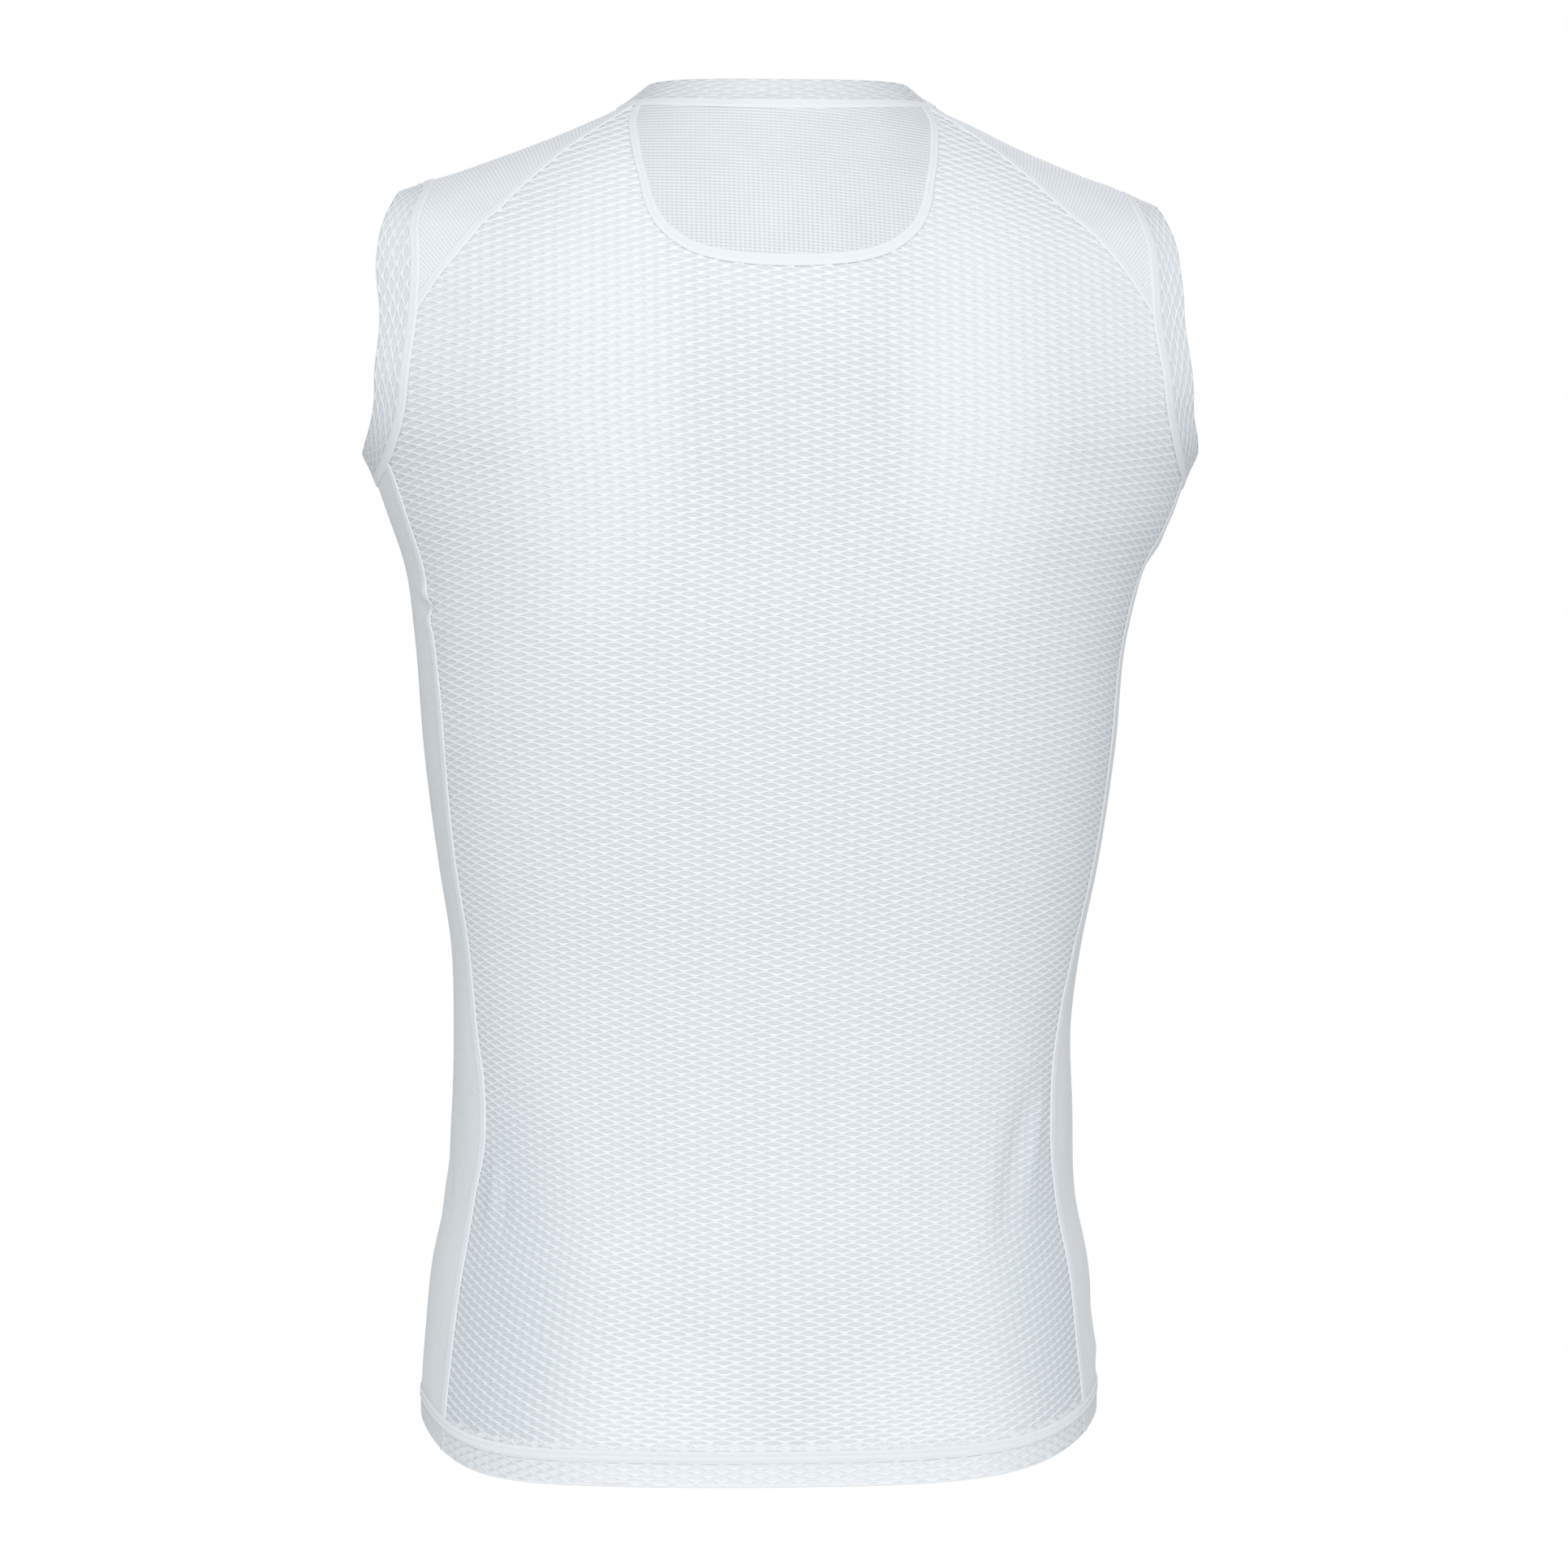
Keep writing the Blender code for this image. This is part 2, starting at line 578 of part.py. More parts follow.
def main():
    for ob in list(bpy.data.objects):
        bpy.data.objects.remove(ob)
    cloth = {row[0]: make_cloth(*row) for row in CLOTH}
    lines = seam_lines()
    verts, faces, fixed = triangulate(lines)
    faces = [list(f) for f in faces]
    group, _ = regions(faces, fixed)
    for name, kind, seeds in PIECES:
        if seeds[0] == "arm":
            side = seeds[1]
            theta = 0.3
            a = np.array(arm_seam_point(side, theta))
            b = np.array(arm_point(side, theta, ARM_BAND_WIDTH * MM))
            spots = [tuple((a + b) / 2)]
        else:
            spots = [(u * DEG, v * MM) for u, v in seeds]
        chosen = {region_at(s, verts, faces, group) for s in spots}
        build_piece(name, kind, chosen, verts, faces, group, cloth[kind])


main()
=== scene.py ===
"""Looks of the cycling base layer vest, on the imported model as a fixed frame.

Metres, +Z up, the garment's front faces -Y and the wearer's left side is +X.
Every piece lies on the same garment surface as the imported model: a stack of
rings read at u, round the body from centre back, and v, up the side from the
hem. The tables of rings and seams below are that model's own sizes.

The open knit is real geometry. Its eyelets lie on a flat staggered lattice,
trimmed to each cut piece laid flat, and are then carried onto the surface.
"""

import math

import bpy
import numpy as np
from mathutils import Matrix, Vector
from mathutils.geometry import delaunay_2d_cdt


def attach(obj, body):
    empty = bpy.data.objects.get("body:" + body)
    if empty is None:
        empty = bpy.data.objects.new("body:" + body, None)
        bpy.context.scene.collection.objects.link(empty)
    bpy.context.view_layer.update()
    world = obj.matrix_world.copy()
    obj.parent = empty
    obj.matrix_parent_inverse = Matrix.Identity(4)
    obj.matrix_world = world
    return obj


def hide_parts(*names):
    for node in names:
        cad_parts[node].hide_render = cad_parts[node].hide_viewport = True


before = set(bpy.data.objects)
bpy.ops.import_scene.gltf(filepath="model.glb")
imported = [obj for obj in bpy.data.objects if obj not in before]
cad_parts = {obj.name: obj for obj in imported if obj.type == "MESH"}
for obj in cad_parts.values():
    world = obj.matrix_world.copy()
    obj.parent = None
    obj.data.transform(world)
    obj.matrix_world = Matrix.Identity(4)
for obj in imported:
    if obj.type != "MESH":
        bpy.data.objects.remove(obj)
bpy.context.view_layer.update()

MM = 0.001
DEG = math.pi / 180.0

# ---------------------------------------------------------------- the rings
# One row per ring, from the hem up. z_ and a_ are the height and half width at
# the two sides, z_back, z_front, y_back and y_front those of the centre lines.
# square makes a ring boxier than an ellipse, sway shifts it sideways, and
# turn says how near the side the height change between sides and centre is.
RING_COLUMNS = ("name", "z_left", "z_right", "z_back", "z_front", "a_left",
                "a_right", "y_back", "y_front", "square", "sway",
                "turn_left", "turn_right")
RINGS = (
    ("hem",        -627.2, -623.4, -648.6, -622.0, 165.2, 165.2, 112.0, -105.0, 0.030, 9.0, 9.0, 4.8),
    ("hem_fold",   -612.2, -608.4, -631.6, -605.0, 165.3, 165.3, 111.0, -105.0, 0.030, 9.0, 8.3, 4.8),
    ("seat",       -583.0, -581.0, -601.0, -579.0, 163.6, 163.6, 109.0, -105.5, 0.030, 8.8, 6.0, 4.0),
    ("hip",        -552.0, -551.0, -565.0, -549.0, 160.8, 160.8, 103.5, -106.0, 0.030, 8.5, 3.5, 3.0),
    ("high_hip",   -520.0, -520.0, -528.0, -518.0, 154.5, 154.5,  98.0, -106.0, 0.028, 8.2, 2.0, 2.0),
    ("low_waist",  -476.0, -476.0, -480.0, -475.0, 151.8, 152.8,  94.0, -106.5, 0.026, 7.8, 2.0, 2.0),
    ("waist",      -434.0, -434.0, -436.0, -434.0, 151.4, 151.8,  93.0, -107.5, 0.025, 7.4, 2.0, 2.0),
    ("over_waist", -400.0, -400.0, -401.0, -400.0, 153.8, 154.8,  95.5, -109.5, 0.024, 6.0, 2.0, 2.0),
    ("ribs",       -356.0, -356.0, -356.0, -357.0, 161.4, 162.8, 102.0, -113.5, 0.022, 5.0, 2.0, 2.0),
    ("low_chest",  -300.0, -300.0, -300.0, -303.0, 169.4, 170.2, 110.0, -118.0, 0.018, 4.0, 2.0, 2.0),
    ("chest",      -244.0, -244.0, -246.0, -250.0, 175.0, 175.2, 115.0, -121.0, 0.012, 3.0, 2.0, 2.0),
    ("under_arm",  -212.0, -212.0, -218.0, -222.0, 180.8, 182.6, 116.0, -121.5, 0.006, 1.6, 2.0, 2.0),
    ("arm_foot",   -186.0, -186.0, -197.0, -203.0, 190.4, 195.0, 116.0, -121.5, 0.002, 0.6, 2.0, 2.0),
    ("arm_low",    -164.0, -164.0, -180.0, -190.0, 199.2, 202.6, 115.5, -121.0, 0.000, 0.0, 2.0, 2.0),
    ("arm_mid",    -138.0, -138.0, -160.0, -176.0, 213.6, 216.4, 114.5, -120.0, 0.000, 0.0, 2.0, 2.0),
    ("arm_wide",   -110.0, -110.0, -138.0, -162.0, 225.5, 226.5, 113.0, -118.5, 0.000, 0.0, 2.0, 2.0),
    ("arm_high",    -80.0,  -82.0, -116.0, -149.0, 226.0, 225.0, 111.0, -116.0, 0.000, 0.0, 2.0, 2.0),
    ("arm_over",    -56.0,  -62.0,  -98.0, -138.0, 223.5, 219.5, 108.0, -113.5, 0.000, 0.0, 2.0, 2.0),
    ("arm_top",     -42.0,  -49.0,  -86.0, -129.0, 214.5, 211.5, 105.5, -111.0, 0.000, 0.0, 2.0, 2.0),
    ("point",       -33.5,  -39.0,  -76.0, -121.0, 200.5, 198.5, 103.0, -108.0, 0.000, 0.0, 2.0, 2.0),
    ("strap_outer", -27.0,  -31.0,  -67.0, -113.0, 180.0, 180.0, 100.0, -105.0, 0.000, 0.0, 2.0, 2.0),
    ("strap_1",     -19.2,  -22.0,  -55.0, -103.0, 158.0, 158.0,  95.5, -100.5, 0.000, 0.0, 2.0, 2.0),
    ("strap_2",     -11.2,  -13.0,  -42.0,  -93.0, 136.0, 136.0,  90.5,  -95.0, 0.000, 0.0, 2.0, 2.0),
    ("strap_3",      -3.2,   -4.0,  -26.0,  -83.0, 115.0, 115.0,  83.5,  -89.0, 0.000, 0.0, 2.0, 2.0),
    ("strap_inner",   4.8,    5.3,  -10.0,  -73.0,  96.0,  96.0,  75.5,  -82.0, 0.000, 0.0, 2.0, 2.0),
    ("neck_seam",    14.0,   14.0,    7.8,  -62.0,  77.0,  77.0,  66.0,  -74.0, 0.000, 0.0, 2.0, 2.0),
    ("neck_edge",    24.5,   24.5,   20.8,  -49.0,  63.5,  63.5,  60.0,  -64.0, 0.000, 0.0, 2.0, 2.0),
)

# ---------------------------------------------------------------- the seams
# Seam tables give u in degrees round the body from centre back, at heights v,
# in mm along the side of the body from the hem edge.
SIDE_SEAM_COLUMNS = ("v", "back_left", "back_right", "front")
SIDE_SEAMS = (
    (0.0,   67.0, 67.0, 113.0),
    (45.0,  65.0, 64.3, 114.5),
    (80.0,  63.6, 63.5, 115.5),
    (110.0, 64.0, 63.2, 115.5),
    (137.0, 61.4, 61.8, 116.5),
    (163.0, 62.6, 63.0, 115.5),
    (190.0, 66.4, 67.0, 113.0),
    (213.0, 68.6, 70.0, 111.0),
    (240.0, 70.0, 73.0, 110.0),
    (280.0, 70.4, 75.0, 109.0),
    (340.0, 69.4, 75.4, 108.5),
    (395.0, 71.8, 77.6, 107.5),
    (430.0, 72.8, 79.0, 106.5),
    (470.0, 73.0, 80.0, 105.0),
)

# back yoke: from the neck seam down round the U, half of it
YOKE_COLUMNS = ("v", "u")
YOKE = (
    ("neck", 63.0),
    (730.0, 54.0),
    (716.0, 45.0),
    (700.0, 37.3),
    (684.0, 31.2),
    (667.0, 26.4),
    (654.0, 22.8),
    (642.5, 18.9),
    (633.0, 14.8),
    (627.2, 10.4),
    (624.6, 5.2),
    (624.0, 0.0),
)

# shoulder panel: back and front seams, from the neck seam to the arm band
SHOULDER_COLUMNS = ("v", "back_left", "back_right", "front")
SHOULDER = (
    ("neck", 67.0, 67.0, 116.0),
    (720.0,  64.6, 64.4, 119.0),
    (700.0,  61.7, 62.2, 121.5),
    (680.0,  58.0, 58.5, 124.5),
    (655.0,  53.8, 54.0, 128.5),
    (625.0,  49.5, 50.3, 131.5),
    (602.0,  47.0, 48.8, 132.0),
    (578.0,  48.3, 50.2, 130.4),
    ("arm",  None, None, None),
)

# arm opening: an oval, middle at v, reaching round to the back and the front
ARM_MIDDLE_V = 552.0
ARM_HALF_HEIGHT = 90.0
ARM_REACH_BACK = 36.5         # degrees from the side line
ARM_REACH_FRONT = 38.0
ARM_BAND_WIDTH = 15.5         # from the oval in to the band's free edge
# at the back the band's seam lies outside the oval: by out, in degrees, and by
# more round one place near the top, more_at and more_spread in degrees of theta
ARM_SEAM_COLUMNS = ("side", "out", "more", "more_at", "more_spread")
ARM_SEAM = (
    ("left",  1.2, 1.8, 20.0, 13.0),
    ("right", 0.9, 0.0, 20.0, 13.0),
)
SHOULDER_MEETS_ARM = 4.0      # degrees above the oval's middle line

# ---------------------------------------------------------------- knit sizes, mm
PITCH = 11.15          # across, from one eyelet to the next in its row
REPEAT = 4.12          # up, from one row to the next row but one
TILE_TIP = 0.448       # half length of an eyelet's tile, in pitches
EYELET_LONG = 0.394    # half length of an eyelet, in pitches
EYELET_UP = 0.300      # its upper rise, in repeats
EYELET_DOWN = 0.258    # its lower rise, in repeats
CREST = 0.22           # the strand's middle over the cloth's outer face
EYELET_RIM = -0.32     # where the strand turns into the eyelet
EYELET_FLOOR = -0.52   # the thin ground seen through the eyelet
FLOOR_OVER = (1.06, 1.14)   # how far the ground runs on under the strands
SINGLE_FACE = 0.45     # outer face of one layer over the garment surface
DOUBLE_FACE = 0.95     # the same for a folded hem or band
HEM_STEP = 1.4         # length over which the hem thins to one layer
HEM_STITCH_UNDER = 2.7 # from there down to the middle of the hem's stitching

# How the back's knit lies on the body, by height z of its row at the centre
# line. stretch widens it, tilt is the rise of a row per mm toward the wearer's
# left, bow is its rise, in mm, 100 mm away from the centre line, and side is
# how much more it is widened there.
LIE_COLUMNS = ("z", "stretch", "tilt", "bow", "side")
LIE = (
    (-660.0, 1.10, 0.000,  2.0, -0.10),
    (-640.0, 1.09, 0.000,  2.0, -0.10),
    (-620.0, 1.075, 0.000, 2.3, -0.10),
    (-600.0, 1.06, 0.013,  2.5, -0.11),
    (-580.0, 1.04, 0.023,  2.6, -0.12),
    (-530.0, 1.00, 0.033,  2.7, -0.15),
    (-450.0, 1.00, 0.045,  0.6, -0.09),
    (-370.0, 1.00, 0.035, -0.6, -0.02),
    (-290.0, 1.00, 0.044, -1.8,  0.09),
    (-210.0, 1.00, 0.056, -2.4,  0.12),
    (-170.0, 1.03, 0.061, -2.6,  0.10),
    (-140.0, 1.06, 0.066, -2.7,  0.07),
    (-100.0, 1.08, 0.070, -2.7,  0.01),
    (-50.0,  1.10, 0.070, -2.7, -0.02),
)

# ---------------------------------------------------------------- creases
# Each is a soft ridge (depth > 0) or trough. u is in degrees from centre back,
# the wearer's left side positive, v is in mm up the side from the hem. slant
# is the angle from level, bend bows it, both width and length are in mm.
CREASE_COLUMNS = ("u", "v", "slant", "length", "width", "depth", "bend")
CREASES = (
    # the back, above the waist's left and right
    (56.0, 113.0,   92.0,  50.0,  4.2,  1.10,  1.0),
    (51.0, 110.0,   88.0,  44.0,  3.4, -0.80,  0.0),
    (-47.0, 130.0, 112.0,  96.0,  8.5, -2.10, -3.0),
    (-54.5, 139.0, 110.0,  76.0,  5.0,  1.00, -2.0),
    (-38.0, 106.0, 116.0,  76.0,  9.0,  0.90,  0.0),
    # pinched side seam under the left shoulder blade
    (73.0, 396.0,    4.0,  34.0,  3.4, -2.10,  1.0),
    (74.0, 403.0,    6.0,  30.0,  4.2,  1.10,  0.0),
    (70.0, 389.0,   -6.0,  36.0,  4.4,  0.80,  0.0),
    (62.0, 380.0,  -24.0,  52.0,  7.5,  0.55,  2.0),
    # side panels
    (82.0, 118.0,   58.0,  46.0,  5.5, -1.25,  2.0),
    (88.0, 108.0,   62.0,  40.0,  5.0,  0.80,  0.0),
    (86.0, 250.0,   84.0,  90.0,  9.0, -0.60,  3.0),
    (-84.0, 30.0,    8.0,  40.0,  5.5,  0.90,  1.0),
    (-86.0, 52.0,   -4.0,  46.0,  6.0, -0.85,  0.0),
    (-84.0, 430.0,  10.0,  44.0,  6.0,  1.05,  1.0),
    (-86.0, 414.0,   6.0,  40.0,  5.0, -1.00,  0.0),
    (-88.0, 160.0,  76.0,  80.0,  8.0, -0.55,  2.0),
    # shoulders, at the ends of their seams
    (86.0, 642.0,   70.0,  30.0,  5.0,  0.70,  0.0),
    (-82.0, 648.0, 108.0,  32.0,  5.0,  0.80,  0.0),
    (-72.0, 742.0, 100.0,  22.0,  4.0,  1.00,  0.0),
    (-75.0, 730.0,  96.0,  26.0,  4.0, -0.50,  0.0),
    # under the back of the neck band
    (8.0,  752.0,    4.0,  64.0,  2.6, -1.15,  2.0),
    (-10.0, 749.0,  -3.0,  72.0,  3.2,  0.75,  2.0),
    (24.0, 747.0,    6.0,  46.0,  3.0, -0.55,  1.0),
    # arm openings
    (62.0, 520.0,  -40.0,  60.0,  8.0,  0.55,  2.0),
    (-60.0, 518.0,  38.0,  66.0,  8.0,  0.60, -2.0),
    (-66.0, 500.0,  30.0,  50.0,  5.5, -0.55,  0.0),
    # the front, which the photograph doesn't show
    (128.0, 118.0,  72.0,  60.0,  7.0, -0.75,  2.0),
    (134.0, 126.0,  76.0,  48.0,  6.0,  0.55,  0.0),
    (-126.0, 128.0, 112.0, 66.0,  7.5, -0.85, -2.0),
    (-133.0, 116.0, 108.0, 46.0,  5.5,  0.50,  0.0),
    (122.0, 408.0,  22.0,  56.0,  7.5,  0.75,  2.0),
    (119.0, 396.0,  18.0,  44.0,  5.0, -0.80,  0.0),
    (-122.0, 404.0, -24.0, 58.0,  7.5,  0.70,  2.0),
    (-118.0, 393.0, -16.0, 40.0,  5.0, -0.70,  0.0),
    (118.0, 520.0,  44.0,  62.0,  8.5,  0.60,  2.0),
    (-117.0, 524.0, -46.0, 64.0,  8.5,  0.60, -2.0),
    (166.0, 660.0,   8.0,  58.0,  5.0,  0.45,  2.0),
    (-160.0, 664.0, -6.0,  50.0,  5.0, -0.45,  2.0),
    (96.0, 134.0,   96.0,  70.0,  8.0,  0.70,  0.0),
    (-98.0, 210.0,  86.0,  82.0,  9.0,  0.60,  0.0),
)

# where the knit rests on the body and looks fuller: X and z in mm, half width
# and half height of the soft spot, and how far its eyelets close
FULL_COLUMNS = ("x", "z", "half_width", "half_height", "closes")
FULL_BACK = (
    (93.0,  -128.0, 40.0, 115.0, 0.30),
    (-90.0, -132.0, 36.0, 100.0, 0.28),
    (66.0,  -634.0, 56.0, 50.0, 0.28),
    (-64.0, -634.0, 56.0, 50.0, 0.28),
)

# seam tapes: line, half widths in mm at its two ends and middle, what lies on
# it, and how high it stands
TAPE_COLUMNS = ("line", "half_ends", "half_middle", "rows", "rise", "face")
TAPES = (
    ("side_back_left",      2.55, 2.55, "cover", 1.00, 0.50),
    ("side_back_right",     2.55, 2.55, "cover", 1.00, 0.50),
    ("side_front_left",     2.55, 2.55, "cover", 1.00, 0.50),
    ("side_front_right",    2.55, 2.55, "cover", 1.00, 0.50),
    ("shoulder_back_left",  2.40, 2.40, "cover", 1.00, 0.50),
    ("shoulder_back_right", 2.40, 2.40, "cover", 1.00, 0.50),
    ("shoulder_front_left", 2.40, 2.40, "cover", 1.00, 0.50),
    ("shoulder_front_right", 2.40, 2.40, "cover", 1.00, 0.50),
    ("yoke",                2.30, 3.50, "cover", 1.10, 0.50),
    ("arm_seam_left",       2.80, 2.80, "band",  0.95, 0.72),
    ("arm_seam_right",      2.80, 2.80, "band",  0.95, 0.72),
    ("neck_seam",           2.70, 2.70, "band",  0.95, 0.72),
    ("hem_stitch",          2.90, 2.90, "hem",   0.42, 0.95),
)


# ---------------------------------------------------------------- surface
def column(table, columns, name):
    return np.array([row[columns.index(name)] for row in table], float)


class Rings:
    """Smooth curves through the ring table, read by v, the side's length.
    They run on straight past the two ends."""

    def __init__(self):
        names = RING_COLUMNS[1:]
        self.names = [row[0] for row in RINGS]
        self.table = np.stack([column(RINGS, RING_COLUMNS, n) for n in names], 1)
        lengths = [n in ("square", "turn_left", "turn_right") for n in names]
        self.table[:, ~np.array(lengths)] *= MM
        self.at = at = {n: i for i, n in enumerate(names)}
        z = (self.table[:, at["z_left"]] + self.table[:, at["z_right"]]) / 2
        a = (self.table[:, at["a_left"]] + self.table[:, at["a_right"]]) / 2
        self.v = np.concatenate([[0.0], np.cumsum(np.hypot(np.diff(z), np.diff(a)))])
        step = np.diff(self.v)[:, None]
        rate = np.diff(self.table, axis=0) / step
        slope = np.zeros_like(self.table)
        slope[1:-1] = (rate[:-1] * step[1:] + rate[1:] * step[:-1]) / (step[1:] + step[:-1])
        slope[0] = 2 * rate[0] - slope[1]
        slope[-1] = 2 * rate[-1] - slope[-2]
        self.slope = slope

    def v_of(self, name):
        return float(self.v[self.names.index(name)])

    def read(self, v):
        held = np.clip(v, 0.0, self.v[-1])
        k = np.clip(np.searchsorted(self.v, held, side="right") - 1, 0, len(self.v) - 2)
        h = self.v[k + 1] - self.v[k]
        t = (held - self.v[k]) / h
        t2, t3 = t * t, t * t * t
        weights = (2 * t3 - 3 * t2 + 1, (t3 - 2 * t2 + t) * h, -2 * t3 + 3 * t2, (t3 - t2) * h)
        parts = (self.table[k], self.slope[k], self.table[k + 1], self.slope[k + 1])
        out = sum(w[..., None] * p for w, p in zip(weights, parts))
        past = (v - held)[..., None]
        ends = np.where(past < 0, self.slope[0], self.slope[-1]).copy()
        for n in ("square", "turn_left", "turn_right"):
            ends[..., self.at[n]] = 0.0
        return out + past * ends


RING_STACK = Rings()
V_FOLD = RING_STACK.v_of("hem_fold")
V_NECK = RING_STACK.v_of("neck_seam")
V_TOP = RING_STACK.v_of("neck_edge")


def surface(u, v):
    """Point of the garment at u (radians from centre back, +X side positive)
    and v (metres up the side from the hem)."""
    u, v = np.broadcast_arrays(np.asarray(u, float), np.asarray(v, float))
    row = RING_STACK.read(v)
    at = RING_STACK.at
    s, c = np.sin(u), np.cos(u)
    k = row[..., at["square"]]
    across = (s + k * np.sin(3 * u)) / (1 - k)
    along = (c - k * np.cos(3 * u)) / (1 - k)
    a = np.where(s >= 0, row[..., at["a_left"]], row[..., at["a_right"]])
    side = np.where(s >= 0, row[..., at["z_left"]], row[..., at["z_right"]])
    b = np.where(c >= 0, row[..., at["y_back"]], -row[..., at["y_front"]])
    centre = np.where(c >= 0, row[..., at["z_back"]], row[..., at["z_front"]])
    turn = np.where(s >= 0, row[..., at["turn_left"]], row[..., at["turn_right"]])
    rise = np.abs(s) ** turn
    return np.stack([a * across + row[..., at["sway"]], b * along,
                     centre + (side - centre) * rise], -1)


def unit(w):
    return w / np.maximum(np.linalg.norm(w, axis=-1, keepdims=True), 1e-12)


def outward(u, v):
    """Unit normal of the garment, away from the wearer."""
    e = 2e-4
    du = surface(u + 4 * e, v) - surface(u - 4 * e, v)
    dv = surface(u, v + e) - surface(u, v - e)
    return unit(np.cross(dv, du))


def relief(u, v):
    """Height of the creases, in metres along the normal."""
    total = np.zeros(np.broadcast(u, v).shape)
    for cu, cv, slant, length, width, depth, bend in CREASES:
        x = ((u - cu * DEG + math.pi) % (2 * math.pi) - math.pi) * 150.0
        y = v / MM - cv
        c, s = math.cos(slant * DEG), math.sin(slant * DEG)
        far = 2 * (x * c + y * s) / length
        off = (y * c - x * s + bend * far * far) / width
        total += depth * np.exp(-off * off) * np.clip(1 - far * far, 0, 1) ** 2
    return total * MM


def skin(u, v, height):
    """Point at a height, in metres, over the creased garment."""
    u, v = np.broadcast_arrays(np.asarray(u, float), np.asarray(v, float))
    return surface(u, v) + outward(u, v) * (relief(u, v) + height)[..., None]


def skin_normal(u, v):
    e = 3e-4
    du = skin(u + 4 * e, v, 0.0) - skin(u - 4 * e, v, 0.0)
    dv = skin(u, v + e, 0.0) - skin(u, v - e, 0.0)
    return unit(np.cross(dv, du))


def face_height(v):
    """The cloth's outer face over the garment, one layer or a folded hem."""
    t = np.clip((v - V_FOLD) / (HEM_STEP * MM), 0, 1)
    t = t * t * (3 - 2 * t)
    return (DOUBLE_FACE + (SINGLE_FACE - DOUBLE_FACE) * t) * MM


# ---------------------------------------------------------------- seam lines
def smooth_line(points, step):
    """Points along a smooth curve through the given ones, about step apart."""
    p = np.array(points, float)
    q = surface(p[:, 0], p[:, 1])
    t = np.concatenate([[0.0], np.cumsum(np.linalg.norm(np.diff(q, axis=0), axis=1))])
    h = np.diff(t)[:, None]
    rate = np.diff(p, axis=0) / h
    slope = np.zeros_like(p)
    slope[1:-1] = (rate[:-1] * h[1:] + rate[1:] * h[:-1]) / (h[1:] + h[:-1])
    slope[0], slope[-1] = rate[0], rate[-1]
    n = max(2, int(round(t[-1] / step)))
    s = np.linspace(0, t[-1], n + 1)
    k = np.clip(np.searchsorted(t, s, side="right") - 1, 0, len(t) - 2)
    f = ((s - t[k]) / h[k, 0])[:, None]
    f2, f3 = f * f, f * f * f
    out = ((2 * f3 - 3 * f2 + 1) * p[k] + (f3 - 2 * f2 + f) * h[k] * slope[k]
           + (-2 * f3 + 3 * f2) * p[k + 1] + (f3 - f2) * h[k] * slope[k + 1])
    out[0], out[-1] = p[0], p[-1]
    return out


def arm_seam(side, theta):
    """(u, v) on the seam between an arm band and the body."""
    p = arm_points(side, theta, 0.0)
    _, out, more, at, spread = ARM_SEAM[0 if side > 0 else 1]
    far = (np.asarray(theta, float) / DEG - at) / spread
    p[..., 0] -= side * (out + more * np.exp(-far * far)) * DEG * np.maximum(np.cos(theta), 0.0)
    return p


def arm_points(side, theta, inset):
    """(u, v) on the arm opening's oval. theta is 0 at its back, 90 degrees at
    its top. inset moves the points into the opening, in metres."""
    theta, inset = np.broadcast_arrays(np.asarray(theta, float), np.asarray(inset, float))
    reach = np.where(np.cos(theta) >= 0, ARM_REACH_BACK, ARM_REACH_FRONT) * DEG
    u = math.pi / 2 - reach * np.cos(theta)
    v = (ARM_MIDDLE_V + ARM_HALF_HEIGHT * np.sin(theta)) * MM
    e, steps = 1e-4, 4
    for _ in range(steps):
        here = surface(u, v)
        su = (surface(u + e, v) - here) / e
        sv = (surface(u, v + e) - here) / e
        tu = reach * np.sin(theta)
        tv = ARM_HALF_HEIGHT * MM * np.cos(theta)
        along = su * tu[..., None] + sv * tv[..., None]
        across = unit(np.cross(np.cross(su, sv), along))
        a, b, c = (su * su).sum(-1), (su * sv).sum(-1), (sv * sv).sum(-1)
        p, q = (su * across).sum(-1), (sv * across).sum(-1)
        det = a * c - b * b
        du, dv = (c * p - b * q) / det, (a * q - b * p) / det
        toward = du * (math.pi / 2 - u) + dv * (ARM_MIDDLE_V * MM - v)
        move = np.where(toward > 0, 1.0, -1.0) * inset / steps
        u, v = u + move * du, v + move * dv
    return np.stack([side * u, v], -1)


def arm_angle(u_degrees):
    """theta on the lower half of the oval where it crosses a side seam."""
    reach = ARM_REACH_BACK if u_degrees <= 90 else ARM_REACH_FRONT
    return -math.acos((90 - u_degrees) / reach)


FINE = 1.5 * MM
MEET = SHOULDER_MEETS_ARM * DEG
SIDES = ((1, "left"), (-1, "right"))
LINES, ARM_FOOT = {}, {}


def level_line(v, u0, u1, step=FINE):
    """The line at one v from u0 to u1, evenly spaced."""
    u = np.linspace(u0, u1, 721)
    p = surface(u, np.full(721, v))
    t = np.concatenate([[0.0], np.cumsum(np.linalg.norm(np.diff(p, axis=0), axis=1))])
    n = max(2, int(round(t[-1] / step)))
    return np.stack([np.interp(np.linspace(0, t[-1], n + 1), t, u), np.full(n + 1, v)], -1)


